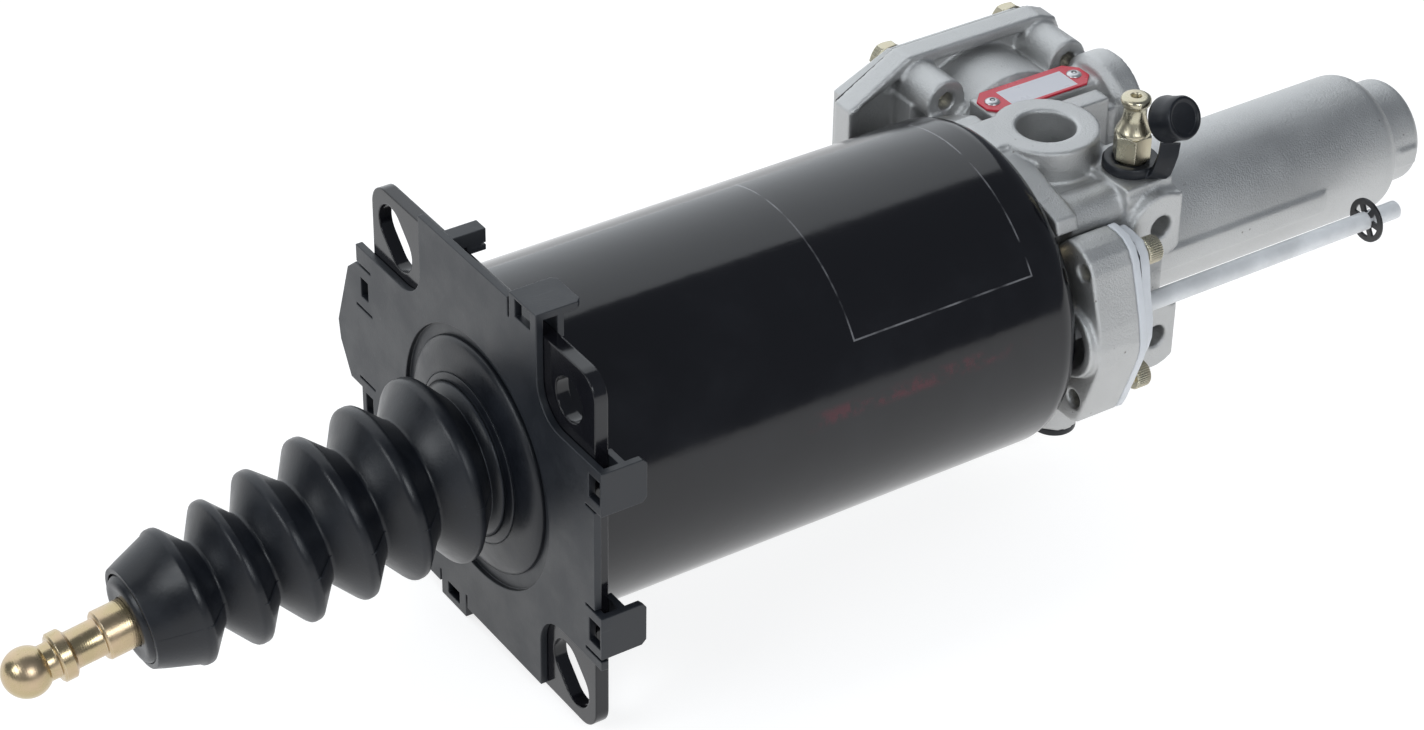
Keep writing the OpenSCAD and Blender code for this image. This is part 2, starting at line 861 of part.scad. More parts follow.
module valve_housing() {
  color([0.72, 0.72, 0.71])
    difference() {
      union() {
        end_plate();
        rev_x()
          rear_section(face_x - 1);
        body_block();
        port_boss();
        bleed_block();
        lug(lug_up);
        lug(lug_down);
        relay_body();
        name_pad();
        fluid_boss();
        // Parting-line pads on the rear cylinder
        box(body_end - 1, body_end + 77, -rear_r - 0.9, -rear_r + 4, -5, 3);
        box(rear_shoulder_x + 3, rear_end_x - 2.5, -rear_end_r - 0.8, -rear_end_r + 4, -4, 3);
        // Exhaust boss under the body
        translate([exhaust_x, exhaust_y, exhaust_z])
          cylinder(h = 20, r = exhaust_r);
        box(exhaust_x, exhaust_x + 12, exhaust_y, 0, -30, -18);
      }
      // Room above the nameplate
      box(name_x0 - 0.4, name_x0 + name_l + 0.4, name_y0 - 0.2, name_y0 + name_w + 0.4,
        name_z, port_z + 10);
      // Bores
      rod_x(barrel_end_x - 1, rear_end_x - 9, plunger_r + plunger_clear);
      rod_x(barrel_end_x - 1, barrel_end_x + seal_l, plunger_r + 5);
      translate([port_x, 0, port_z - port_depth])
        cylinder(h = port_depth + 1, r = port_r);
      rod_x(fluid_x - fluid_depth, fluid_x + 1, fluid_r, fluid_y, fluid_z);
      translate([bleed_x, -bleed_y, bleed_z - 14])
        cylinder(h = 15, r = bleed_shank_r + 0.05);
      rod_y(relay_z + 8, relay_face_y + relay_flange_t + 1, relay_bore_r, relay_x, relay_z);
      along_y(boss_y0 - 1, relay_face_y + relay_flange_t + 1)
        relay_holes(relay_bolt_r + 0.1);
      for (p = [lug_up, lug_down])
        rod_y(lug_face - 1, lug_face + 11, lug_hole_r, p[0], p[1]);
      for (s = [-1, 1])
        rod_x(barrel_end_x - 1, face_x + 1, stud_r, s * plate_stud_y, plate_stud_z);
      for (x = rivet_xs)
        translate([x, name_y0 + name_w / 2, name_z - 5])
          cylinder(h = 6, r = rivet_r);
      translate([exhaust_x, exhaust_y, exhaust_z - 1])
        cylinder(h = 12, r = exhaust_r - 3.5);
      // Room for the indicator housing
      along_x(barrel_end_x - 1, ind_x + ind_t + ind_gasket_t + 0.4)
        ind_shape(0.2);
      // Room for the screw heads
      for (s = [-1, 1])
        rod_x(ind_x, ind_x + ind_t + ind_gasket_t + ind_head_h + 1, ind_head_r + 0.3,
          -ind_y - ind_screw_out, s * ind_screw_z);
    }
}

rivet_r = 1.5;
rivet_xs = [name_x0 + rivet_in, name_x0 + name_l - rivet_in];

module nameplate() {
  color([0.8, 0.1, 0.15])
    difference() {
      translate([name_x0 + name_l / 2, name_y0 + name_w / 2, name_z])
        linear_extrude(0.8)
          intersection() {
            square([name_l, name_w], center = true);
            rotate(45)
              square([name_l - 1, name_l - 1], center = true);
          }
      for (x = rivet_xs)
        translate([x, name_y0 + name_w / 2, name_z - 1])
          cylinder(h = 6, r = rivet_r);
    }
}

module nameplate_rivets() {
  color([0.7, 0.7, 0.7])
    for (x = rivet_xs)
      translate([x, name_y0 + name_w / 2, name_z - 5]) {
        cylinder(h = 5.8, r = rivet_r);
        translate([0, 0, 5.8])
          cylinder(h = 0.8, r = 2.6);
      }
}

// Relay valve pieces
cover_y = relay_face_y + relay_flange_t + gasket_t;

module relay_gasket() {
  color([0.2, 0.2, 0.2])
    along_y(relay_face_y + relay_flange_t, cover_y)
      difference() {
        relay_outline(1);
        translate([relay_x, relay_z])
          circle(relay_bore_r + 1);
      }
}

module relay_cover() {
  color([0.74, 0.74, 0.73])
    difference() {
      union() {
        along_y(cover_y, cover_y + relay_cover_t)
          relay_outline(4);
        rod_y(cover_y, cover_y + relay_cover_t + 5, relay_bore_r + 4, relay_x, relay_z);
      }
      rod_y(cover_y - 1, cover_y + relay_cover_t + 1.5, relay_bore_r, relay_x, relay_z);
    }
}

relay_bolt_l = relay_cover_t + gasket_t + relay_flange_t + relay_boss_l - 5;

module relay_bolts() {
  color([0.78, 0.7, 0.48])
    for (s = [-1, 1])
      for (z = [relay_bolt_up, -relay_bolt_down])
        translate([relay_x + s * relay_pitch_x / 2, cover_y + relay_cover_t, relay_z + z])
          rotate([-90, 0, 0]) {
            cylinder(h = washer_t, r = 2 * relay_bolt_r);
            cylinder(h = washer_t + relay_bolt_h, r = relay_bolt_af / sqrt(3), $fn = 6);
            translate([0, 0, -relay_bolt_l])
              cylinder(h = relay_bolt_l, r = relay_bolt_r);
          }
}

relay_piston_y = relay_z + 14;
relay_piston_l = 12;

module relay_piston() {
  color([0.7, 0.71, 0.73])
    difference() {
      rod_y(relay_piston_y, relay_piston_y + relay_piston_l, relay_bore_r - 0.05, relay_x, relay_z);
      rod_y(relay_piston_y + 4, relay_piston_y + relay_piston_l + 1, relay_bore_r - 3,
        relay_x, relay_z);
    }
}

module relay_spring() {
  color([0.5, 0.5, 0.52])
    translate([relay_x, relay_piston_y + 5.1, relay_z])
      rotate([-90, 0, 0])
        coil(relay_bore_r - 5.5, cover_y + relay_cover_t + 0.3 - relay_piston_y - 5.1,
          4, 1, 56, 6);
}

// Wear indicator
module ind_shape(d) {
  back = plate_room_y - 0.5;
  polygon([
    [-ind_y + ind_near * 0.35 + d, ind_high + d],
    [-ind_y - ind_near * 0.2 - d, ind_high + d],
    [-ind_y - ind_near * 0.6 - d, ind_high * 0.78 + d],
    [-ind_y - ind_near - d, ind_high * 0.18],
    [-ind_y - ind_near - d, -ind_high * 0.18],
    [-ind_y - ind_near * 0.62 - d, -ind_high * 0.88 - d],
    [-ind_y - ind_near * 0.3 - d, -ind_high - d],
    [-ind_y + ind_near * 0.35 + d, -ind_high - d],
    [-back - ind_near * 0.2 + d, -ind_high * 0.75],
    [-back + d, -ind_high * 0.25],
    [-back + d, ind_high * 0.25],
    [-back - ind_near * 0.2 + d, ind_high * 0.75]
  ]);
}

cup_r = ind_near * 0.82;
cup_y = -ind_y - 1.7;
cup_z = -1.5;

module ind_holes(r) {
  for (s = [-1, 1])
    translate([-ind_y - ind_screw_out, s * ind_screw_z])
      circle(r);
}

module indicator_housing() {
  color([0.74, 0.74, 0.73])
    difference() {
      union() {
        along_x(ind_x, ind_x + ind_t)
          difference() {
            ind_shape(0);
            ind_holes(3.1);
          }
        rod_x(barrel_end_x + 0.4, ind_x + 1, cup_r, cup_y, cup_z);
      }
      rod_x(barrel_end_x, ind_x + ind_t / 2, cup_r - 3.5, cup_y, cup_z);
      rod_x(ind_x, ind_x + ind_t + 1, ind_rod_r + 2, -ind_y, 0);
    }
}

module indicator_bush() {
  color([0.3, 0.28, 0.24])
    along_x(ind_x + ind_t / 2, ind_x + ind_t)
      translate([-ind_y, 0])
        difference() {
          circle(ind_rod_r + 1.95);
          circle(ind_rod_r + 0.05);
        }
}

module indicator_gasket() {
  color([0.88, 0.9, 0.92])
    along_x(ind_x + ind_t, ind_x + ind_t + ind_gasket_t)
      difference() {
        ind_shape(0);
        ind_holes(3.1);
        translate([-ind_y, 0])
          circle(ind_rod_r + 1);
      }
}

ind_screw_l = ind_t + ind_gasket_t - 1.5;

module indicator_screws() {
  color([0.75, 0.68, 0.45])
    for (s = [-1, 1])
      translate([ind_x + ind_t + ind_gasket_t, -ind_y - ind_screw_out, s * ind_screw_z])
        rotate([0, 90, 0]) {
          difference() {
            cylinder(h = ind_head_h, r = ind_head_r);
            translate([0, 0, ind_head_h * 0.45])
              cylinder(h = ind_head_h, r = ind_head_r * 0.6, $fn = 6);
          }
          translate([0, 0, -ind_screw_l])
            cylinder(h = ind_screw_l + 0.1, r = 3);
        }
}

module indicator_rod() {
  color([0.74, 0.76, 0.78])
    difference() {
      rod_x(ind_rod_front, ind_rod_end, ind_rod_r, -ind_y, 0);
      translate([clip_x, -ind_y, 0])
        rotate([0, 90, 0])
          difference() {
            cylinder(h = 1.2, r = ind_rod_r + 1);
            translate([0, 0, -1])
              cylinder(h = 4, r = ind_rod_r - 0.3);
          }
    }
}

module indicator_clip() {
  color([0.04, 0.04, 0.04])
    along_x(clip_x + 0.1, clip_x + 1.1)
      translate([-ind_y, 0])
        difference() {
          circle(clip_r);
          difference() {
            circle(clip_r * 0.75);
            for (a = [0:60:300])
              rotate(a)
                translate([0, -1])
                  square([clip_r, 2]);
          }
          circle(ind_rod_r - 0.2);
        }
}

// Exhaust, bleed screw and its cap
module exhaust_flap() {
  color([0.05, 0.05, 0.05])
    translate([exhaust_x, exhaust_y, exhaust_z - 2.5])
      difference() {
        cylinder(h = 2.5, r = exhaust_r - 0.5);
        translate([0, 0, -1])
          cylinder(h = 2, r = exhaust_r - 3.5);
      }
}

bleed_shank_r = 4.55;
hex_z = ring_t + 0.2;
hex_top = hex_z + bleed_hex_h;

module bleed_screw() {
  color([0.74, 0.68, 0.5])
    translate([bleed_x, -bleed_y, bleed_z]) {
      translate([0, 0, -13])
        cylinder(h = 14 + hex_z, r = bleed_shank_r);
      translate([0, 0, hex_z])
        cylinder(h = bleed_hex_h, r = bleed_af / sqrt(3), $fn = 6);
      translate([0, 0, hex_top])
        cylinder(h = 1.2, r = bleed_af / 2 + 0.3);
      translate([0, 0, hex_top + 1.2])
        cylinder(h = 4.3, r1 = bleed_af / 2 + 0.3, r2 = 3.8);
      translate([0, 0, hex_top + 5.5])
        cylinder(h = 4.3, r = 3.8);
      translate([0, 0, hex_top + 9.5])
        cylinder(h = 1, r1 = 3.8, r2 = 4.9);
      translate([0, 0, hex_top + 10.5])
        cylinder(h = 1.4, r = 4.9);
      translate([0, 0, hex_top + 11.9])
        cylinder(h = 1.3, r1 = 4.9, r2 = 2.6);
    }
}

cap_back = [12.6, -3.4, 12.3];
cap_l = 9;
cap_r = 7;

module bleed_cap() {
  color([0.04, 0.04, 0.05])
    translate([bleed_x, -bleed_y, bleed_z]) {
      difference() {
        cylinder(h = ring_t, r = 9.2);
        translate([0, 0, -1])
          cylinder(h = ring_t + 2, r = bleed_shank_r + 0.3);
      }
      // Strap out from the ring and up to the cap
      rotate([0, 0, -30])
        translate([8, -3, 0.4])
          cube([6.5, 6, 2]);
      translate([0, 0, 0])
        rotate([0, 0, -30])
          translate([12.4, -3, 0.6])
            cube([2.1, 6, 9]);
      translate(cap_back)
        rotate([66.7, 0, 18.9])
          difference() {
            cylinder(h = cap_l, r1 = cap_r, r2 = cap_r - 1);
            translate([0, 0, -1])
              cylinder(h = cap_l - 1, r = cap_r - 2.5);
          }
    }
}

module plunger_seal() {
  color([0.06, 0.06, 0.06])
    along_x(barrel_end_x, barrel_end_x + seal_l - seat_gap)
      difference() {
        circle(plunger_r + 4.9);
        circle(plunger_r + 0.05);
      }
}

mounting_flange();
cylinder_barrel();
dust_cover();
boot();
boot_ring();
preload_spring();
valve_housing();
barrel_studs();
relay_gasket();
relay_cover();
relay_bolts();
relay_spring();
nameplate();
nameplate_rivets();
indicator_housing();
indicator_gasket();
indicator_screws();
indicator_bush();
exhaust_flap();
bleed_cap();
plunger_seal();
piston();
piston_seal();
guide_band();
plunger();
seat_ring();
ball_seat();
push_rod();
indicator_rod();
indicator_clip();
bleed_screw();
relay_piston();
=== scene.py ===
import json
import math

import bmesh
import bpy
from bpy.props import FloatProperty, FloatVectorProperty, IntProperty, PointerProperty
from mathutils import Matrix, Vector


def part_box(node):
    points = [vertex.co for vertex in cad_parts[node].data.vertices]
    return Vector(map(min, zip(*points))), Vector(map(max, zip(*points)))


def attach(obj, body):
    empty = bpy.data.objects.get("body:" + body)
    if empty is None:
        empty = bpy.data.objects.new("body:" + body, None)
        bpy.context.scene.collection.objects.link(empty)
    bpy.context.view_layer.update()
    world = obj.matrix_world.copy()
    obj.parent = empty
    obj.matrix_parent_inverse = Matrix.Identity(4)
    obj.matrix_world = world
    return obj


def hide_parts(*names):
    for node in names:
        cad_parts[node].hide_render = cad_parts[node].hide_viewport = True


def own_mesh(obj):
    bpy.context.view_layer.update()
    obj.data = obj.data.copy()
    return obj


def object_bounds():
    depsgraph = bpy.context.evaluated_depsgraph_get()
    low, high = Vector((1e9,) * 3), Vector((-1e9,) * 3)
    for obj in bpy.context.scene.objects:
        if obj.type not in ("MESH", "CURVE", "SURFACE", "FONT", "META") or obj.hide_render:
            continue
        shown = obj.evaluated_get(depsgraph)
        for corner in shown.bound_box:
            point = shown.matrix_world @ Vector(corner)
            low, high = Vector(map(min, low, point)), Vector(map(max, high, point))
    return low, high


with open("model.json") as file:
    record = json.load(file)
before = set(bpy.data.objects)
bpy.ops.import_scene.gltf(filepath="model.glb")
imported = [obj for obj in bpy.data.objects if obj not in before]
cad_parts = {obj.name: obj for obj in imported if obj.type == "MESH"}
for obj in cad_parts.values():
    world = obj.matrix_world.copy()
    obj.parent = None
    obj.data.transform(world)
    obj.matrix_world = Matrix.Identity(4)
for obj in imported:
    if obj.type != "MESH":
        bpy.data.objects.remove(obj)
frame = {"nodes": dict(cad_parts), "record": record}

bl_info = {
    "name": "Clutch servo looks",
    "version": (1, 0, 0),
    "blender": (4, 5, 0),
    "location": "View3D > Sidebar > Servo",
    "description": "Dresses the packed clutch servo with cast, painted, rubber and plated finishes",
    "category": "Add Mesh",
}

CAD_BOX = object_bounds()
MM = 0.001
BARREL_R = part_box("cylinder_barrel")[1].z
# The push rod hangs down by this angle from its ball seat
PIVOT = Vector((-0.0225, 0, 0))
ROD_DROOP = math.radians(8)
# The indicator rod runs along X through this point
IND_AXIS = Vector((0, -0.0418, 0))
# Faces that meet at less than this angle are joined as one flat face
FLAT_ANGLE = math.radians(0.5)


def size(name, words, default, **more):
    """A length that a user may change, in metres."""
    return FloatProperty(name=name, description=words, default=default, unit="LENGTH", precision=5, **more)


def number(name, words, default, low):
    """A whole number that a user may change."""
    return IntProperty(name=name, description=words, default=default, min=low)


def colour(name, words, default):
    """A finish colour that a user may change."""
    return FloatVectorProperty(
        name=name, description=words, default=default, subtype="COLOR", size=3, min=0, max=1
    )


class ServoSizes(bpy.types.PropertyGroup):
    """Sizes of the details that the looks add."""

    barrel_r: size("Barrel radius", "Outside radius of the painted barrel", BARREL_R)
    barrel_round: size("Barrel rounding", "Rounding of the barrel's rear edge", 0.010)
    barrel_wall: size("Barrel wall", "Wall of the painted barrel", 0.002)
    cast_voxel: size("Cast detail", "Grid of the rounded casting", 0.0007)
    soft_edge: size("Edge rounding", "Rounding seen on small edges", 0.0005)
    boot_wall: size("Boot wall", "Rubber thickness of the bellows", 0.0017)
    boot_crest: size("Crest width", "Width of the flat on each fold", 0.0026)
    label_line: size("Label line", "Width of the bare label's outline", 0.0005)
    knurl: size("Knurl depth", "Depth of the knurling on the screws", 0.0003)
    cast_smooth: number("Cast smoothing", "Passes that round the casting", 3, 0)
    round_steps: number("Round steps", "Sides of a turned piece", 128, 24)


class ServoColours(bpy.types.PropertyGroup):
    """Colours of the finishes."""

    paint: colour("Barrel paint", "Gloss black paint", (0.006, 0.006, 0.008))
    plastic: colour("Cover plastic", "Dark grey moulded plastic", (0.0100, 0.0120, 0.0160))
    rubber: colour("Rubber", "Blue-black boot rubber", (0.0055, 0.0066, 0.0095))
    cast: colour("Casting", "Light cast aluminium", (0.565, 0.568, 0.565))
    zinc: colour("Plating", "Yellow zinc plating", (0.47, 0.385, 0.225))
    pale_zinc: colour("Pale plating", "Thin pale plating on screws and bolts", (0.50, 0.475, 0.36))
    steel: colour("Steel", "Plain steel", (0.55, 0.55, 0.55))
    rod_grey: colour("Indicator rod", "Grey indicator rod", (0.63, 0.64, 0.65))
    white_plastic: colour("Gasket plate", "Milky white plastic", (0.68, 0.70, 0.73))
    plate_red: colour("Plate border", "Red border of the nameplate", (0.60, 0.030, 0.055))
    plate_white: colour("Plate centre", "Bare centre of the nameplate", (0.62, 0.62, 0.66))
    bearing: colour("Bearing plastic", "Brown bearing plastic", (0.10, 0.08, 0.05))
    gasket: colour("Gasket sheet", "Dark gasket sheet", (0.05, 0.05, 0.05))
    clip: colour("Clip", "Black plastic of the rod's clip", (0.012, 0.012, 0.013))
    floor: colour("Floor", "Pale studio floor", (0.40, 0.40, 0.40))


def sizes():
    """The scene's own sizes."""
    return bpy.context.scene.servo_sizes


def colours():
    """The scene's own colours."""
    return bpy.context.scene.servo_colours


# Shader helpers


class Tree:
    """Short hand for laying out a node tree."""

    def __init__(self, tree):
        self.tree = tree

    def add(self, kind, values=(), **settings):
        """A node with its settings, and with values or other nodes' outputs in its sockets."""
        node = self.tree.nodes.new(kind)
        for key, value in settings.items():
            setattr(node, key, value)
        for key, value in dict(values).items():
            if isinstance(value, bpy.types.NodeSocket):
                self.tree.links.new(value, node.inputs[key])
            else:
                node.inputs[key].default_value = value
        return node

    def math(self, how, a, b=0.0):
        return self.add("ShaderNodeMath", {0: a, 1: b}, operation=how).outputs[0]

    def times(self, a, b):
        return self.math("MULTIPLY", a, b)

    def plus(self, a, b):
        return self.math("ADD", a, b)

    def minus(self, a, b):
        return self.math("SUBTRACT", a, b)

    def apart(self, a, b):
        """How far one value lies from another."""
        return self.math("ABSOLUTE", self.minus(a, b))

    def feed(self, shader, socket, value):
        """Links a value to a shader's socket."""
        self.tree.links.new(value, shader.inputs[socket])

    def map(self, value, low, high, to_low=0.0, to_high=1.0):
        """Takes one range to another with soft ends."""
        node = self.add(
            "ShaderNodeMapRange",
            {"Value": value, "From Min": low, "From Max": high, "To Min": to_low, "To Max": to_high},
            interpolation_type="SMOOTHSTEP",
        )
        return node.outputs[0]

    def mix(self, factor, a, b):
        """A colour between two others."""
        node = self.add("ShaderNodeMix", data_type="RGBA")
        for socket, value in ((node.inputs["Factor"], factor), (node.inputs[6], a), (node.inputs[7], b)):
            if isinstance(value, bpy.types.NodeSocket):
                self.tree.links.new(value, socket)
            elif isinstance(value, (int, float)):
                socket.default_value = value
            else:
                socket.default_value = (*value, 1.0)
        return node.outputs[2]

    def noise(self, where, scale, detail=3.0, rough=0.5):
        node = self.add(
            "ShaderNodeTexNoise",
            {"Vector": where, "Scale": scale, "Detail": detail, "Roughness": rough},
        )
        return node.outputs["Fac"]

    def place(self):
        """The piece's own coordinates."""
        return self.add("ShaderNodeTexCoord").outputs["Object"]


def new_group(name, inputs, outputs):
    """A shader node group with named sockets, made once."""
    found = bpy.data.node_groups.get(name)
    if found:
        return None, found
    group = bpy.data.node_groups.new(name, "ShaderNodeTree")
    for label, kind, value in inputs:
        socket = group.interface.new_socket(name=label, in_out="INPUT", socket_type=kind)
        socket.default_value = value
    for label, kind in outputs:
        group.interface.new_socket(name=label, in_out="OUTPUT", socket_type=kind)
    return Tree(group), group


def edge_group():
    """Rounds small edges and gives a mask of where they are."""
    tree, group = new_group(
        "Soft edges",
        [("Radius", "NodeSocketFloat", 0.0005)],
        [("Normal", "NodeSocketVector"), ("Edge", "NodeSocketFloat")],
    )
    if tree is None:
        return group
    gate = tree.add("NodeGroupInput")
    rounded = tree.add("ShaderNodeBevel", {"Radius": gate.outputs["Radius"]}, samples=6).outputs[0]
    plain = tree.add("ShaderNodeNewGeometry").outputs["Normal"]
    turn = tree.add("ShaderNodeVectorMath", {0: rounded, 1: plain}, operation="DOT_PRODUCT").outputs["Value"]
    mask = tree.map(turn, 0.995, 0.80)
    tree.add("NodeGroupOutput", {"Normal": rounded, "Edge": mask})
    return group


def grain_group():
    """Fine grain and slow mottle, from the piece's own coordinates."""
    tree, group = new_group(
        "Grain",
        [("Scale", "NodeSocketFloat", 900.0), ("Mottle scale", "NodeSocketFloat", 40.0)],
        [("Height", "NodeSocketFloat"), ("Mottle", "NodeSocketFloat"), ("Specks", "NodeSocketFloat")],
    )
    if tree is None:
        return group
    gate = tree.add("NodeGroupInput")
    where = tree.place()
    fine = tree.noise(where, gate.outputs["Scale"], 4.0, 0.6)
    slow = tree.noise(where, gate.outputs["Mottle scale"], 5.0, 0.6)
    cells = tree.add("ShaderNodeTexVoronoi", {"Vector": where, "Scale": gate.outputs["Scale"]})
    specks = tree.map(cells.outputs["Distance"], 0.16, 0.04)
    tree.add("NodeGroupOutput", {"Height": fine, "Mottle": slow, "Specks": specks})
    return group


def scratch_group():
    """Thin scattered scuffs along the piece."""
    tree, group = new_group(
        "Scuffs",
        [("Scale", "NodeSocketFloat", 60.0), ("Amount", "NodeSocketFloat", 0.5)],
        [("Mask", "NodeSocketFloat")],
    )
    if tree is None:
        return group
    gate = tree.add("NodeGroupInput")
    where = tree.add(
        "ShaderNodeMapping", {"Vector": tree.place(), "Scale": (1.0, 9.0, 9.0), "Rotation": (0.3, 0.2, 0.5)}
    ).outputs[0]
    lines = tree.noise(where, gate.outputs["Scale"], 2.0, 0.7)
    cut = tree.map(lines, 0.66, 0.74)
    tree.add("NodeGroupOutput", {"Mask": tree.times(cut, gate.outputs["Amount"])})
    return group


def start_material(name):
    """A material with its Principled shader ready to be fed."""
    found = bpy.data.materials.get(name)
    if found:
        return None, None, found
    material = bpy.data.materials.new(name)
    material.use_nodes = True
    tree = Tree(material.node_tree)
    shader = material.node_tree.nodes["Principled BSDF"]
    return tree, shader, material


def use(tree, group, **values):
    """Places a node group with its own values."""
    node = tree.add("ShaderNodeGroup", node_tree=group)
    for key, value in values.items():
        node.inputs[key.replace("_", " ")].default_value = value
    return node


def finish_normal(tree, shader, height, strength, distance, under):
    """Feeds the shader's normal from a height over the rounded edges."""
    bump = tree.add(
        "ShaderNodeBump",
        {"Strength": strength, "Distance": distance, "Height": height, "Normal": under},
    )
    tree.feed(shader, "Normal", bump.outputs[0])


def paint_material():
    """Gloss black paint with a slight orange-peel skin and a bare label film."""
    tree, shader, material = start_material("barrel paint")
    if tree is None:
        return material
    c = colours()
    grain = use(tree, grain_group(), Scale=420.0, Mottle_scale=26.0)
    scuffs = use(tree, scratch_group(), Scale=30.0, Amount=0.6)
    xyz = tree.add("ShaderNodeSeparateXYZ", {0: tree.place()})
    along = xyz.outputs["X"]
    turn = tree.math("ARCTAN2", tree.times(xyz.outputs["Y"], -1.0), xyz.outputs["Z"])
    # The label film's limits along the barrel and round it, and how deep a point lies inside them
    low_x, high_x, low_arc, high_arc = 0.1030, 0.1700, -0.0335, 0.0540
    arc = tree.times(turn, BARREL_R)
    ends = tree.math("MINIMUM", tree.minus(along, low_x), tree.minus(high_x, along))
    sides = tree.math("MINIMUM", tree.minus(arc, low_arc), tree.minus(high_arc, arc))
    inside = tree.math("MINIMUM", ends, sides)
    line = tree.map(tree.math("ABSOLUTE", inside), 0.00012, sizes().label_line * 0.8)
    line = tree.minus(1.0, line)
    breaks = tree.map(tree.noise(tree.place(), 90.0, 3.0), 0.34, 0.62)
    line = tree.times(line, breaks)
    film = tree.map(inside, 0.0, 0.0003)
    dust = tree.map(grain.outputs["Mottle"], 0.45, 0.75)
    base = tree.mix(tree.times(dust, 0.25), c.paint, (0.020, 0.021, 0.026))
    base = tree.mix(tree.times(line, 0.42), base, (0.42, 0.42, 0.44))
    # A painted reflection: a faint red streak low on the near side, painted into the paint's colour
    reflection_mid, reflection_turn = 0.1180, 1.345
    reflection_x = tree.map(tree.apart(along, reflection_mid), 0.050, 0.020)
    reflection_a = tree.map(tree.apart(turn, reflection_turn), 0.070, 0.010)
    broken = tree.map(tree.noise(tree.place(), 120.0, 4.0, 0.7), 0.42, 0.66)
    red_reflection = tree.times(tree.times(reflection_x, reflection_a), broken)
    base = tree.mix(tree.times(red_reflection, 0.8), base, (0.075, 0.004, 0.014))
    tree.feed(shader, "Base Color", base)
    rough = tree.map(grain.outputs["Mottle"], 0.35, 0.75, 0.10, 0.17)
    rough = tree.plus(rough, tree.times(film, 0.03))
    rough = tree.plus(rough, tree.times(scuffs.outputs["Mask"], 0.10))
    tree.feed(shader, "Roughness", rough)
    shader.inputs["IOR"].default_value = 1.48
    edges = use(tree, edge_group(), Radius=0.0008)
    wave = tree.noise(tree.place(), 70.0, 2.0, 0.4)
    height = tree.plus(tree.times(wave, 0.7), tree.times(grain.outputs["Height"], 0.05))
    finish_normal(tree, shader, height, 0.10, 0.0012, edges.outputs["Normal"])
    return material


def plastic_material(name, base_colour, roughness, grain_depth, edge_wear_and_highlight=0.5):
    """Moulded plastic: fine texture, and paler edges that are partly rubbed wear, partly a painted
    highlight.
    """
    tree, shader, material = start_material(name)
    if tree is None:
        return material
    grain = use(tree, grain_group(), Scale=1500.0, Mottle_scale=55.0)
    scuffs = use(tree, scratch_group(), Scale=45.0, Amount=0.8)
    edges = use(tree, edge_group(), Radius=sizes().soft_edge)
    pale = tuple(min(1.0, v * 2.4 + 0.02) for v in base_colour)
    mottled = tuple(v * 1.35 for v in base_colour)
    base = tree.mix(tree.map(grain.outputs["Mottle"], 0.3, 0.8), base_colour, mottled)
    # Paler edges: partly rubbed wear, partly a painted highlight
    base = tree.mix(tree.times(edges.outputs["Edge"], edge_wear_and_highlight), base, pale)
    base = tree.mix(tree.times(scuffs.outputs["Mask"], 0.3), base, pale)
    tree.feed(shader, "Base Color", base)
    rough = tree.map(grain.outputs["Mottle"], 0.3, 0.7, roughness - 0.05, roughness + 0.07)
    tree.feed(shader, "Roughness", rough)
    finish_normal(tree, shader, grain.outputs["Height"], 0.35, grain_depth, edges.outputs["Normal"])
    return material


def rubber_material():
    """Boot rubber: satin, bluish, with a painted highlight as pale lines along the edges of its crests and
    valleys.
    """
    tree, shader, material = start_material("boot rubber")
    if tree is None:
        return material
    c = colours()
    grain = use(tree, grain_group(), Scale=1100.0, Mottle_scale=70.0)
    scuffs = use(tree, scratch_group(), Scale=80.0, Amount=0.7)
    edges = use(tree, edge_group(), Radius=0.0007)
    base = tree.mix(tree.map(grain.outputs["Mottle"], 0.35, 0.75), c.rubber, (0.0105, 0.0125, 0.0170))
    # Pale lines along the fold edges: a painted highlight
    base = tree.mix(tree.times(edges.outputs["Edge"], 0.6), base, (0.046, 0.052, 0.064))
    base = tree.mix(tree.times(scuffs.outputs["Mask"], 0.25), base, (0.042, 0.046, 0.055))
    tree.feed(shader, "Base Color", base)
    rough = tree.map(grain.outputs["Mottle"], 0.3, 0.7, 0.30, 0.42)
    tree.feed(shader, "Roughness", rough)
    shader.inputs["IOR"].default_value = 1.5
    shader.inputs["Specular IOR Level"].default_value = 0.38
    finish_normal(tree, shader, grain.outputs["Height"], 0.25, 0.00015, edges.outputs["Normal"])
    return material


def cast_material():
    """Cast aluminium: fine blasted grain, darker hollows, and bright edges that are a painted highlight."""
    tree, shader, material = start_material("cast aluminium")
    if tree is None:
        return material
    c = colours()
    grain = use(tree, grain_group(), Scale=1600.0, Mottle_scale=32.0)
    edges = use(tree, edge_group(), Radius=0.0010)
    pits = tree.add("ShaderNodeTexVoronoi", {"Vector": tree.place(), "Scale": 210.0, "Randomness": 1.0})
    pit = tree.map(pits.outputs["Distance"], 0.11, 0.03)
    pit = tree.times(pit, tree.map(tree.noise(tree.place(), 24.0, 2.0), 0.47, 0.60))
    dull = tuple(v * 0.86 for v in c.cast)
    base = tree.mix(tree.map(grain.outputs["Mottle"], 0.30, 0.72), dull, c.cast)
    base = tree.mix(tree.times(grain.outputs["Specks"], 0.25), base, (0.86, 0.85, 0.83))
    # Bright edges: a painted highlight
    base = tree.mix(tree.times(edges.outputs["Edge"], 0.75), base, (0.95, 0.95, 0.94))
    base = tree.mix(tree.times(pit, 0.8), base, (0.20, 0.185, 0.17))
    tree.feed(shader, "Base Color", base)
    shader.inputs["Metallic"].default_value = 0.86
    rough = tree.map(grain.outputs["Mottle"], 0.3, 0.7, 0.40, 0.52)
    rough = tree.minus(rough, tree.times(edges.outputs["Edge"], 0.12))
    tree.feed(shader, "Roughness", rough)
    height = tree.minus(grain.outputs["Height"], tree.times(pit, 0.6))
    finish_normal(tree, shader, height, 0.75, 0.00030, edges.outputs["Normal"])
    return material


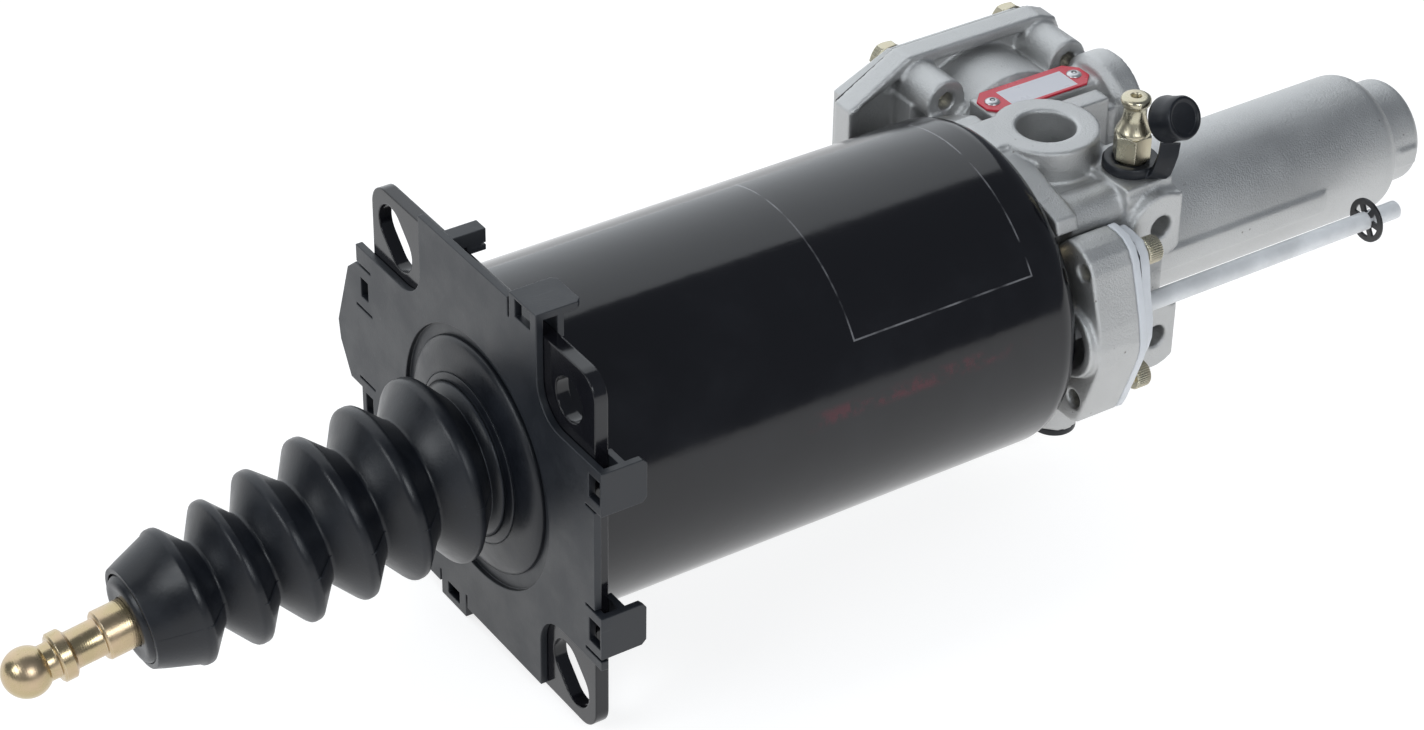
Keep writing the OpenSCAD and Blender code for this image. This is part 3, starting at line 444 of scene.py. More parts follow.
def metal_material(name, base_colour, roughness, tint, rings=0.0):
    """Turned or plated metal: slow colour change, faint tool rings along X."""
    tree, shader, material = start_material(name)
    if tree is None:
        return material
    grain = use(tree, grain_group(), Scale=700.0, Mottle_scale=120.0)
    scuffs = use(tree, scratch_group(), Scale=140.0, Amount=0.8)
    edges = use(tree, edge_group(), Radius=0.0004)
    base = tree.mix(tree.map(grain.outputs["Mottle"], 0.32, 0.68), base_colour, tint)
    worn = tuple(v * 0.45 for v in base_colour)
    base = tree.mix(tree.times(scuffs.outputs["Mask"], 0.4), base, worn)
    # Paler edges: partly wear, partly a painted highlight
    base = tree.mix(tree.times(edges.outputs["Edge"], 0.5), base, (0.85, 0.83, 0.76))
    tree.feed(shader, "Base Color", base)
    shader.inputs["Metallic"].default_value = 0.95
    rough = tree.map(grain.outputs["Mottle"], 0.3, 0.7, roughness - 0.05, roughness + 0.08)
    tree.feed(shader, "Roughness", rough)
    xyz = tree.add("ShaderNodeSeparateXYZ", {0: tree.place()})
    wave = tree.math("SINE", tree.times(xyz.outputs["X"], 9000.0))
    height = tree.plus(grain.outputs["Height"], tree.times(wave, rings))
    finish_normal(tree, shader, height, 0.25, 0.00008, edges.outputs["Normal"])
    return material


def white_material():
    """Milky plastic that lets a little light in."""
    tree, shader, material = start_material("milky plastic")
    if tree is None:
        return material
    c = colours()
    grain = use(tree, grain_group(), Scale=900.0, Mottle_scale=60.0)
    edges = use(tree, edge_group(), Radius=0.0006)
    cloudy = tuple(v * 0.9 for v in c.white_plastic)
    base = tree.mix(tree.map(grain.outputs["Mottle"], 0.3, 0.7), c.white_plastic, cloudy)
    tree.feed(shader, "Base Color", base)
    shader.inputs["Roughness"].default_value = 0.34
    shader.inputs["Subsurface Weight"].default_value = 0.25
    shader.inputs["Subsurface Radius"].default_value = (0.002, 0.002, 0.002)
    finish_normal(tree, shader, grain.outputs["Height"], 0.2, 0.0001, edges.outputs["Normal"])
    return material


def plate_material():
    """Nameplate: a red border round a bare pale centre, left blank."""
    tree, shader, material = start_material("nameplate print")
    if tree is None:
        return material
    c = colours()
    low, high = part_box("nameplate")
    grain = use(tree, grain_group(), Scale=900.0, Mottle_scale=90.0)
    edges = use(tree, edge_group(), Radius=0.0003)
    xyz = tree.add("ShaderNodeSeparateXYZ", {0: tree.place()})
    # The centre sits a little off the plate's middle, inside the border's width at its ends and sides
    mid_x, mid_y = (low.x + high.x) / 2 + 0.0009, (low.y + high.y) / 2 - 0.00075
    end_border, side_border = 0.0080, 0.00185
    from_x = tree.apart(xyz.outputs["X"], mid_x)
    from_y = tree.apart(xyz.outputs["Y"], mid_y)
    in_x = tree.math("LESS_THAN", from_x, (high.x - low.x) / 2 - end_border)
    in_y = tree.math("LESS_THAN", from_y, (high.y - low.y) / 2 - side_border)
    centre = tree.times(in_x, in_y)
    base = tree.mix(centre, c.plate_red, c.plate_white)
    base = tree.mix(tree.times(grain.outputs["Specks"], 0.15), base, (0.75, 0.74, 0.72))
    tree.feed(shader, "Base Color", base)
    rough = tree.map(grain.outputs["Mottle"], 0.3, 0.7, 0.26, 0.38)
    tree.feed(shader, "Roughness", rough)
    finish_normal(tree, shader, grain.outputs["Height"], 0.2, 0.00005, edges.outputs["Normal"])
    return material


def finish(slot_name):
    """The material for a record's slot."""
    c = colours()
    makers = {
        "black_paint": paint_material,
        "black_plastic": lambda: plastic_material("cover plastic", tuple(c.plastic), 0.42, 0.00010),
        "rubber": rubber_material,
        "steel": lambda: metal_material("plain steel", tuple(c.steel), 0.30, (0.62, 0.62, 0.63), 0.3),
        "cast_aluminium": cast_material,
        "zinc": lambda: metal_material("yellow zinc", tuple(c.zinc), 0.27, (0.55, 0.42, 0.28), 0.2),
        "gasket": lambda: plastic_material("gasket sheet", tuple(c.gasket), 0.6, 0.0001),
        "plate": plate_material,
        "white_plastic": white_material,
        "bearing": lambda: plastic_material("bearing plastic", tuple(c.bearing), 0.45, 0.0001),
        "rod_grey": lambda: plastic_material("rod plastic", tuple(c.rod_grey), 0.36, 0.00006, 0.2),
        "black_clip": lambda: plastic_material("clip black", tuple(c.clip), 0.35, 0.00004, 0.4),
    }
    return makers[slot_name]()


# Mesh helpers


SLOT_OF = {part["node"]: part["material_slot"] for part in frame["record"]["subparts"]}
BODY_OF = {
    node: body
    for body, nodes in frame["record"]["behaviour"]["bodies"].items()
    for node in nodes
}


def add_piece(name, mesh, body, slot_name, nodes=(), sharp=40, material=None):
    """Puts a finished mesh on its body, with its finish; without a sharp angle its own normals stay."""
    if sharp:
        mesh.shade_smooth()
        mesh.set_sharp_from_angle(angle=math.radians(sharp))
    mesh.materials.clear()
    mesh.materials.append(material or finish(slot_name))
    piece = bpy.data.objects.new(name, mesh)
    bpy.context.scene.collection.objects.link(piece)
    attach(piece, body)
    if nodes:
        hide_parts(*nodes)
    return piece


def cleaned(mesh, merge=0.0, thin=False, flats=None):
    """Merges close points, drops thin faces and joins flat ones where asked, and faces all outwards."""
    work = bmesh.new()
    work.from_mesh(mesh)
    if merge:
        bmesh.ops.remove_doubles(work, verts=work.verts, dist=merge)
    if thin:
        bmesh.ops.dissolve_degenerate(work, edges=work.edges, dist=1e-7)
    if flats is not None:
        bmesh.ops.dissolve_limit(
            work, angle_limit=FLAT_ANGLE, verts=work.verts, edges=work.edges, delimit=flats
        )
    bmesh.ops.recalc_face_normals(work, faces=work.faces)
    work.to_mesh(mesh)
    work.free()
    return mesh


def mesh_from(name, verts, faces):
    """A mesh of its own from points and faces."""
    mesh = bpy.data.meshes.new(name)
    mesh.from_pydata([tuple(v) for v in verts], [], faces)
    mesh.validate()
    return cleaned(mesh)


def lathe(name, profile, place=Matrix(), steps=None, closed=True):
    """Turns a profile of (radius, along X) points about X, then moves it to its place."""
    steps = steps or sizes().round_steps
    verts, faces = [], []
    count = len(profile)
    for i in range(steps):
        a = 2 * math.pi * i / steps
        for r, x in profile:
            verts.append(place @ Vector((x, r * math.cos(a), r * math.sin(a))))
    for i in range(steps):
        j = (i + 1) % steps
        for k in range(count if closed else count - 1):
            m = (k + 1) % count
            faces.append((i * count + k, i * count + m, j * count + m, j * count + k))
    return cleaned(mesh_from(name, verts, faces), 1e-6, True)


def arc_points(centre, radius, start, end, steps):
    """Points on an arc in the (radius, along) plane; angles in degrees from the radius axis."""
    out = []
    for i in range(steps + 1):
        a = math.radians(start + (end - start) * i / steps)
        out.append((centre[0] + radius * math.cos(a), centre[1] + radius * math.sin(a)))
    return out


def node_copy(node):
    """A clean copy of a node's mesh."""
    mesh = frame["nodes"][node].data.copy()
    mesh.name = node + "_look"
    return cleaned(mesh, 2e-6, flats={"NORMAL"})


def with_modifiers(mesh, build):
    """The mesh with modifiers worked in."""
    helper = bpy.data.objects.new("helper", mesh)
    bpy.context.scene.collection.objects.link(helper)
    build(helper)
    graph = bpy.context.evaluated_depsgraph_get()
    out = bpy.data.meshes.new_from_object(helper.evaluated_get(graph))
    bpy.data.objects.remove(helper)
    return out


def prism(outline, low, high):
    """A closed piece along X from an outline of (y, z) points, in mm."""
    n = len(outline)
    verts = [Vector((x, y, z)) * MM for x in (low, high) for y, z in outline]
    faces = [tuple(range(n)), tuple(range(n, 2 * n))]
    faces += [(i, (i + 1) % n, n + (i + 1) % n, n + i) for i in range(n)]
    return verts, faces


def block(x0, x1, y0, y1, z0, z1):
    """A box between two corners, in mm."""
    return prism([(y0, z0), (y1, z0), (y1, z1), (y0, z1)], x0, x1)


def carved(mesh, *stages):
    """The mesh after boolean stages, each a kind and the closed pieces that it works with."""
    tools = []

    def build(helper):
        for kind, parts in stages:
            tool = bpy.data.objects.new("tool", mesh_from("tool", *join(parts)))
            bpy.context.scene.collection.objects.link(tool)
            tools.append(tool)
            mod = helper.modifiers.new(kind, "BOOLEAN")
            mod.operation = kind
            mod.solver = "EXACT"
            mod.use_self = True
            mod.object = tool

    out = with_modifiers(mesh, build)
    for tool in tools:
        bpy.data.objects.remove(tool)
    return cleaned(out, 4e-6, flats=set())


def dressed(node, bevel=0.0003, mesh=None):
    """A node's own shape, or a mesh in its place, with its edges broken and its flats kept flat."""
    mesh = mesh or node_copy(node)
    mesh.shade_smooth()

    def build(helper):
        mod = helper.modifiers.new("edges", "BEVEL")
        mod.width = bevel
        mod.segments = 2
        mod.limit_method = "ANGLE"
        mod.angle_limit = math.radians(35)
        mod.harden_normals = False
        mod = helper.modifiers.new("flats", "WEIGHTED_NORMAL")
        mod.mode = "FACE_AREA"
        mod.weight = 90

    mesh = with_modifiers(mesh, build)
    return add_piece(node + "_look", mesh, BODY_OF[node], SLOT_OF[node], [node], None)


def cast_copy(node, mesh, voxel, passes):
    """A mesh in a node's place, with cast fillets: gridded finely, then smoothed."""

    def build(helper):
        grid = helper.modifiers.new("grid", "REMESH")
        grid.mode = "VOXEL"
        grid.voxel_size = voxel
        if passes:
            smooth = helper.modifiers.new("smooth", "SMOOTH")
            smooth.factor = 0.5
            smooth.iterations = passes

    mesh = with_modifiers(mesh, build)
    return add_piece(node + "_look", mesh, BODY_OF[node], SLOT_OF[node], [node], 80)


def ring_faces(rings, steps, ends=False):
    """Faces that join each ring of points to the next, and close the first and the last if asked."""
    faces = []
    for k in range(rings - 1):
        for i in range(steps):
            j = (i + 1) % steps
            faces.append((k * steps + i, k * steps + j, (k + 1) * steps + j, (k + 1) * steps + i))
    if ends:
        faces.append(tuple(range(steps)))
        faces.append(tuple((rings - 1) * steps + i for i in range(steps)))
    return faces


def hexagon(flat, a):
    """Radius of a hexagon at an angle, from its width across the flats."""
    b = (a % (math.pi / 3)) - math.pi / 6
    return flat / 2 / math.cos(b)


def hex_head(flat, height, chamfer=0.93):
    """Bolt head along +Z: hexagon with turned corners and a washer face."""
    steps, pin, dish = 96, 0.0008, 0.00025
    circle = flat / 2 * chamfer
    verts = []

    def ring(radius, level):
        for i in range(steps):
            a = 2 * math.pi * i / steps
            r = radius(a)
            verts.append(Vector((r * math.cos(a), r * math.sin(a), level(a))))

    def corner(a):
        return hexagon(flat, a)

    def rounded(a):
        return min(corner(a), circle)

    def drop(a):
        return max(0.0, corner(a) - circle) * math.tan(math.radians(32))

    ring(lambda a: pin, lambda a: 0.0)
    ring(rounded, lambda a: 0.0)
    ring(corner, lambda a: drop(a) * 0.6)
    ring(corner, lambda a: height - drop(a))
    ring(rounded, lambda a: height)
    ring(lambda a: circle * 0.82, lambda a: height)
    ring(lambda a: circle * 0.78, lambda a: height - dish)
    ring(lambda a: pin, lambda a: height - dish)
    return verts, ring_faces(len(verts) // steps, steps, True)


def join(parts):
    """Several (verts, faces) lists as one."""
    verts, faces = [], []
    for part_verts, part_faces in parts:
        start = len(verts)
        verts.extend(part_verts)
        faces.extend(tuple(start + i for i in face) for face in part_faces)
    return verts, faces


def moved(part, place):
    """A piece of (verts, faces) at another place."""
    return [place @ Vector(v) for v in part[0]], part[1]


def turned(profile, steps=48):
    """A closed turned piece along +Z from (radius, height) points that start and end on the axis."""
    verts, faces = [], []
    for i in range(steps):
        a = 2 * math.pi * i / steps
        for r, z in profile:
            verts.append(Vector((max(r, 1e-6) * math.cos(a), max(r, 1e-6) * math.sin(a), z)))
    n = len(profile)
    for i in range(steps):
        j = (i + 1) % steps
        for k in range(n - 1):
            faces.append((i * n + k, j * n + k, j * n + k + 1, i * n + k + 1))
    return verts, faces


def clean_piece(name, part, body, slot_name, nodes, sharp=35, material=None):
    """Puts a piece of (verts, faces) on its body, cleaned first."""
    mesh = cleaned(mesh_from(name, *part), 3e-6, True)
    return add_piece(name, mesh, body, slot_name, nodes, sharp, material)


def pale_zinc():
    """The thin pale plating on screws and bolts."""
    return metal_material("pale zinc", tuple(colours().pale_zinc), 0.27, (0.55, 0.49, 0.36), 0.2)


def along_x():
    """Turns +Z pieces to point along +X."""
    return Matrix.Rotation(math.radians(90), 4, "Y")


def along_y():
    """Turns +Z pieces to point along +Y."""
    return Matrix.Rotation(math.radians(-90), 4, "X")


# Operators, one for each piece or group


class SERVO_OT_barrel(bpy.types.Operator):
    """Turn the painted barrel with its rounded rear edge and welded front"""

    bl_idname = "servo.barrel"
    bl_label = "Barrel"

    def execute(self, context):
        s = sizes()
        low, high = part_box("cylinder_barrel")
        r, edge, wall = s.barrel_r, s.barrel_round, s.barrel_wall
        chamfer, hole = 0.0012, 0.0158
        profile = [(r - chamfer, low.x), (r, low.x + chamfer)]
        profile += [(r, low.x + (high.x - edge - low.x) * t / 12) for t in range(1, 12)]
        profile += arc_points((r - edge, high.x - edge), edge, 0, 90, 18)
        profile += [(hole, high.x), (hole, high.x - wall)]
        profile += arc_points((r - edge, high.x - edge), edge - wall, 90, 0, 10)
        profile += [(r - wall, low.x)]
        mesh = lathe("barrel", profile, steps=256)
        add_piece("barrel", mesh, "servo", "black_paint", ["cylinder_barrel"], 30)
        # Weld bead where the barrel meets the flange
        bead = arc_points((r + 0.0006, low.x + 0.0006), 0.0014, -120, 150, 10)
        add_piece("barrel_weld", lathe("barrel_weld", bead, steps=160), "servo", "black_paint")
        return {"FINISHED"}


class SERVO_OT_flange(bpy.types.Operator):
    """Dress the steel flange"""

    bl_idname = "servo.flange"
    bl_label = "Mounting flange"

    def execute(self, context):
        dressed("mounting_flange", 0.0009)
        return {"FINISHED"}


class SERVO_OT_cover(bpy.types.Operator):
    """Dress the moulded dust cover, with its top edge, its open windows and its far bar"""

    bl_idname = "servo.cover"
    bl_label = "Dust cover"

    def execute(self, context):
        mesh = carved(
            node_copy("dust_cover"),
            ("DIFFERENCE", self.clears()),
            ("UNION", self.adds()),
            ("DIFFERENCE", self.cuts()),
        )
        dressed("dust_cover", 0.0004, mesh)
        return {"FINISHED"}

    def clears(self):
        """The far top clip behind the plate gives way to the bar."""
        return [block(-0.15, 20, 8, 25, 60, 80)]

    def adds(self):
        """A patch for the plate, and the far bar with its foot turned down."""
        patch = block(-2.5, -0.1, 6.5, 25.5, 56, 70)
        return [patch, block(-1, 11.3, 14.7, 20.2, 64.3, 69.0), block(4.8, 11.3, 14.7, 20.2, 61.6, 69.0)]

    def cuts(self):
        """The far notch, the edges, the windows beside the clips and the clips' corners."""
        front, behind = -4, 20
        notch_r, notch_y, notch_z = 12, 43, 49.5
        notch = [(notch_y - notch_r, 95), (notch_y - notch_r, notch_z)]
        for i in range(1, 12):
            a = math.radians(180 + 90 * i / 12)
            notch.append((notch_y + notch_r * math.cos(a), notch_z + notch_r * math.sin(a)))
        notch += [(notch_y, notch_z - notch_r), (95, notch_z - notch_r), (95, 95)]
        top_edge = block(front, behind, -21.5, 40, 69.3, 80)
        near_edge = block(front, behind, -80, -67.5, -14.5, 22.5)
        top_window = block(front, 1.5, -33.2, -24.8, 64.9, 70.9)
        foot_slit = block(9.5, 12, 14, 19, 63.4, 64.2)
        parts = [prism(notch, front, behind), top_edge, near_edge, top_window, foot_slit]
        for z in (30, -22):
            parts.append(block(front, 1.5, -70.4, -64.4, z - 4.2, z + 4.2))
        # A square bar turned by 45 degrees chips each corner at a clip's end
        half, reach = 1.1, 3
        chip = block(-half, half, -reach, reach, -half, half)
        turn = Matrix.Rotation(math.radians(45), 4, "Y")
        for z in (37.5, 22.5, -14.5, -29.5):
            parts.append(moved(chip, Matrix.Translation((0.013, -0.0701, z * MM)) @ turn))
        chip = block(-half, half, -half, half, -reach, reach)
        turn = Matrix.Rotation(math.radians(45), 4, "Z")
        for y in (-36.5, -21.5):
            parts.append(moved(chip, Matrix.Translation((0.013, y * MM, 0.0706)) @ turn))
        return parts


# Each fold of the boot: its place ahead of the cover's face, its centre's height and its radius
BOOT_CRESTS = [
    (0.0150, 0.0010, 0.0295),
    (0.0325, -0.0005, 0.0280),
    (0.0495, -0.0030, 0.0264),
    (0.0670, -0.0060, 0.0248),
    (0.0830, -0.0090, 0.0232),
    (0.1000, -0.0110, 0.0216),
]
# The cover's front face, along X
BOOT_FRONT = -0.0025


def boot_centre(s):
    """Height of the boot's own centre line, s metres ahead of the cover's face."""
    stops = [(-0.01, 0.0012)] + [(x, z) for x, z, _ in BOOT_CRESTS] + [(0.118, -0.0132), (0.13, -0.0148)]
    for (s0, z0), (s1, z1) in zip(stops, stops[1:]):
        if s <= s1:
            t = (s - s0) / (s1 - s0)
            return z0 + (z1 - z0) * t
    return stops[-1][1]


def boot_profile(wall):
    """Outer and inner lines of the bellows as (s, radius)."""
    flat, depth, valley, narrowest = sizes().boot_crest, 0.0078, 0.0007, 0.0135
    neck = BOOT_CRESTS[0][2] - 0.0085
    outer = [(-0.004, neck), (0.0045, neck), (0.0072, BOOT_CRESTS[0][2] - depth)]
    crest = [(-flat / 2 - 0.0006, 0.0008), (-flat / 2, 0.0002), (-flat / 4, 0.0)]
    crest += [(-along, drop) for along, drop in reversed(crest)]
    for k, (s, _, r) in enumerate(BOOT_CRESTS):
        if k:
            mid = (BOOT_CRESTS[k - 1][0] + s) / 2
            low = r - depth
            outer += [(mid - valley, low + 0.0003), (mid, low), (mid + valley, low + 0.0003)]
        outer += [(s + along, r - drop) for along, drop in crest]
    outer += [(0.1120, 0.0172), (0.1150, 0.0160)]
    inner = [(s, max(r - wall, narrowest)) for s, r in reversed(outer)]
    return outer, inner


def squeeze(piece):
    """Gives a piece of the boot a mesh of its own."""
    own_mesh(piece)


def rod_place():
    """From a piece that lies along X with the ball seat at its origin to where the rod is."""
    return Matrix.Translation(PIVOT) @ Matrix.Rotation(-ROD_DROOP, 4, "Y")


class SERVO_OT_boot(bpy.types.Operator):
    """Mould the bellows boot, its base in the cover and its lip on the rod"""

    bl_idname = "servo.boot"
    bl_label = "Boot"

    def execute(self, context):
        outer, inner = boot_profile(sizes().boot_wall)
        steps, base_end = 160, 0.003
        # The base is a shallow dish in the cover's recess, with a short neck up to the first fold
        base = [
            (-0.0016, 0.0340), (-0.0016, 0.0380), (-0.0006, 0.0380), (-0.0001, 0.0377), (0.0006, 0.0364),
            (0.0013, 0.0340), (0.0019, 0.0310), (0.0024, 0.0284), (0.0030, 0.0262), (0.0038, 0.0249),
            (0.0050, 0.0240), (0.0062, 0.0229),
        ]
        # The bellows' own first two points, outside and inside, make way for the base
        line = base + outer[2:] + inner[:-2]
        verts = []
        for s, r in line:
            # The base stands square in the cover, and the bellows follows its own centre line
            slope = (boot_centre(s + 0.004) - boot_centre(s - 0.004)) / 0.008 if s >= base_end else 0.0
            height = boot_centre(s) if s > base_end else boot_centre(0.0) * 0.6
            centre = Vector((BOOT_FRONT - s, 0, height))
            up = Vector((slope, 0, 1)).normalized()
            for i in range(steps):
                a = 2 * math.pi * i / steps
                verts.append(centre + up * (r * math.sin(a)) + Vector((0, 1, 0)) * (r * math.cos(a)))
        faces = ring_faces(len(line), steps)
        last = (len(line) - 1) * steps
        for i in range(steps):
            j = (i + 1) % steps
            faces.append((last + i, last + j, j, i))
        mesh = mesh_from("boot", verts, faces)
        squeeze(add_piece("boot", mesh, "servo", "rubber", ["boot"], 60))
        self.seam(outer[1:])
        self.lip()
        return {"FINISHED"}

    def seam(self, outer):
        """The mould seam: a thin raised line along the near side."""
        path = []
        for (s0, r0), (s1, r1) in zip(outer, outer[1:]):
            path += [(s0 + (s1 - s0) * t / 4, r0 + (r1 - r0) * t / 4) for t in range(4)]
        a = math.radians(172)
        out = Vector((0, math.cos(a), math.sin(a)))
        side = Vector((0, -math.sin(a), math.cos(a)))
        half, rise, sunk = 0.00022, 0.00022, -0.0003
        verts, faces = [], []
        for s, r in path:
            centre = Vector((BOOT_FRONT - s, 0, boot_centre(s)))
            for across, lift in ((-half, sunk), (0, rise), (half, sunk)):
                verts.append(centre + out * (r + lift) + side * across)
        for i in range(len(path) - 1):
            for k in range(2):
                faces.append((3 * i + k, 3 * i + k + 1, 3 * i + k + 4, 3 * i + k + 3))
        mesh = mesh_from("boot_seam", verts, faces)
        squeeze(add_piece("boot_seam", mesh, "servo", "rubber"))

    def lip(self):
        """The lip grips the rod and moves with it."""
        place = rod_place()
        profile = [
            (0.0172, -0.0878), (0.0160, -0.0916), (0.0145, -0.0944), (0.0136, -0.0962), (0.0128, -0.0972),
            (0.0112, -0.0974), (0.0096, -0.0970), (0.0079, -0.0970), (0.0079, -0.0890), (0.0150, -0.0872),
        ]
        mesh = lathe("boot_lip", profile, place, 128)
        add_piece("boot_lip", mesh, "rod", "rubber", (), 50)


class SERVO_OT_push_rod(bpy.types.Operator):
    """Turn the push rod with its ball tip, collar and shank"""

    bl_idname = "servo.push_rod"
    bl_label = "Push rod"

    def execute(self, context):
        place = rod_place()
        length, tip, pivot, shank, neck = 0.1295, 0.0077, 0.008, 0.00765, 0.0056
        end, collar = length - 0.023, length - 0.0085
        # Profile from the pivot ball along -X: its neck, the shank, the collar, the tip's neck and ball
        profile = [(0.0, pivot)]
        for degrees in range(15, 139, 12):
            a = math.radians(degrees)
            profile.append((pivot * math.sin(a), pivot * math.cos(a)))
        profile += [(0.0052, -0.0062), (0.0052, -0.0108), (0.0055, -0.0111), (0.0055, -0.0188)]
        profile += [(0.0071, -0.0190), (shank, -0.0196)]
        profile += [(shank, -(end - 0.0006)), (0.0071, -end), (0.0059, -(end + 0.0002))]
        profile += [(0.0058, -(end + 0.0008)), (0.0058, -(collar - 0.0056)), (0.0061, -(collar - 0.0050))]
        profile += [(0.0070, -(collar - 0.0045)), (shank, -(collar - 0.0039))]
        profile += [(shank, -(collar - 0.0006)), (0.0070, -collar), (0.0059, -(collar + 0.0002))]
        profile += [(neck, -(collar + 0.0012)), (neck, -(collar + 0.0029))]
        start = math.asin(neck / tip)
        for i in range(21):
            a = start + (math.pi - start) * i / 20
            profile.append((tip * math.sin(a), -(length - tip * math.cos(a))))
        profile[-1] = (0.0, -(length + tip))
        mesh = lathe("push_rod", profile, place, 128, closed=False)
        add_piece("push_rod", mesh, "rod", "zinc", ["push_rod"], 32)
        return {"FINISHED"}


class SERVO_OT_housing(bpy.types.Operator):
    """Cast the valve housing with rounded edges, and dress the relay cover"""

    bl_idname = "servo.housing"
    bl_label = "Valve housing"

    def execute(self, context):
        s = sizes()
        voxel = s.cast_voxel * 1.0
        # The two lugs are cut back to the length that shows
        trims = [block(237.4, 250, -41, -29, -31, -4), block(235.6, 250, -41, -29, 12, 38)]
        mesh = carved(node_copy("valve_housing"), ("DIFFERENCE", trims))
        cast_copy("valve_housing", mesh, voxel, s.cast_smooth)
        dressed("relay_cover", 0.0006)
        return {"FINISHED"}


class SERVO_OT_bolts(bpy.types.Operator):
    """Make the relay bolts, their washers and the studs at the barrel's rear"""

    bl_idname = "servo.bolts"
    bl_label = "Bolts and studs"

    def execute(self, context):
        low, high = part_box("relay_bolts")
        r, thick, head_h = 0.0060, 0.0012, 0.0042
        face = high.y - thick - head_h
        washer = [(0.0, 0.0), (r - 0.0001, 0.0), (r, 0.0002), (r, 0.0010), (r - 0.0002, thick), (0.0, thick)]
        washer = turned(washer)
        shank = turned([(0.0, -0.0254), (0.0026, -0.0254), (0.0030, -0.0250), (0.0030, 0.0), (0.0, 0.0)])
        head = moved(hex_head(0.0100, head_h), Matrix.Translation((0, 0, thick)))
        parts = []
        for x in (low.x + r, high.x - r):
            for z in (low.z + r, high.z - r):
                place = Matrix.Translation((x, face, z)) @ along_y()
                parts += [moved(washer, place), moved(shank, place), moved(head, place)]
        nodes, plating = ["relay_bolts"], pale_zinc()
        clean_piece("relay_bolts_look", join(parts), "servo", "zinc", nodes, material=plating)
        dressed("barrel_studs", 0.0003)
        return {"FINISHED"}


class SERVO_OT_nameplate(bpy.types.Operator):
    """Print the bare nameplate and dome its rivets"""

    bl_idname = "servo.nameplate"
    bl_label = "Nameplate"

    def execute(self, context):
        low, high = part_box("nameplate")
        mid = (low + high) / 2
        x, y, cut = (high.x - low.x) / 2, (high.y - low.y) / 2, 0.0041
        outline = []
        for u, v in ((1, 1), (-1, 1), (-1, -1), (1, -1)):
            ends = [(u * x, v * (y - cut)), (u * (x - cut), v * y)]
            outline += ends if u * v > 0 else ends[::-1]
        verts = [Vector((mid.x + a, mid.y + b, z)) for z in (low.z, high.z) for a, b in outline]
        faces = [tuple(range(8)), tuple(range(8, 16))]
        faces += [(i, (i + 1) % 8, 8 + (i + 1) % 8, 8 + i) for i in range(8)]
        dressed("nameplate", 0.00015, mesh_from("nameplate_look", verts, faces))
        low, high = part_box("nameplate_rivets")
        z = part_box("nameplate")[1].z
        mid = (low.y + high.y) / 2
        shank, head, rise = 0.0014, 0.0026, 0.0009
        dome = [(0.0, -0.004), (shank, -0.004), (shank, 0.0), (head, 0.0)]
        for degrees in range(15, 76, 15):
            a = math.radians(degrees)
            dome.append((head * math.cos(a), rise * math.sin(a)))
        dome += [(0.0009, 0.00088), (0.0007, 0.00070), (0.0, 0.00066)]
        parts = []
        for x in (low.x + head, high.x - head):
            parts.append(moved(turned(dome), Matrix.Translation((x, mid, z))))
        clean_piece("nameplate_rivets_look", join(parts), "servo", "steel", ["nameplate_rivets"])
        return {"FINISHED"}


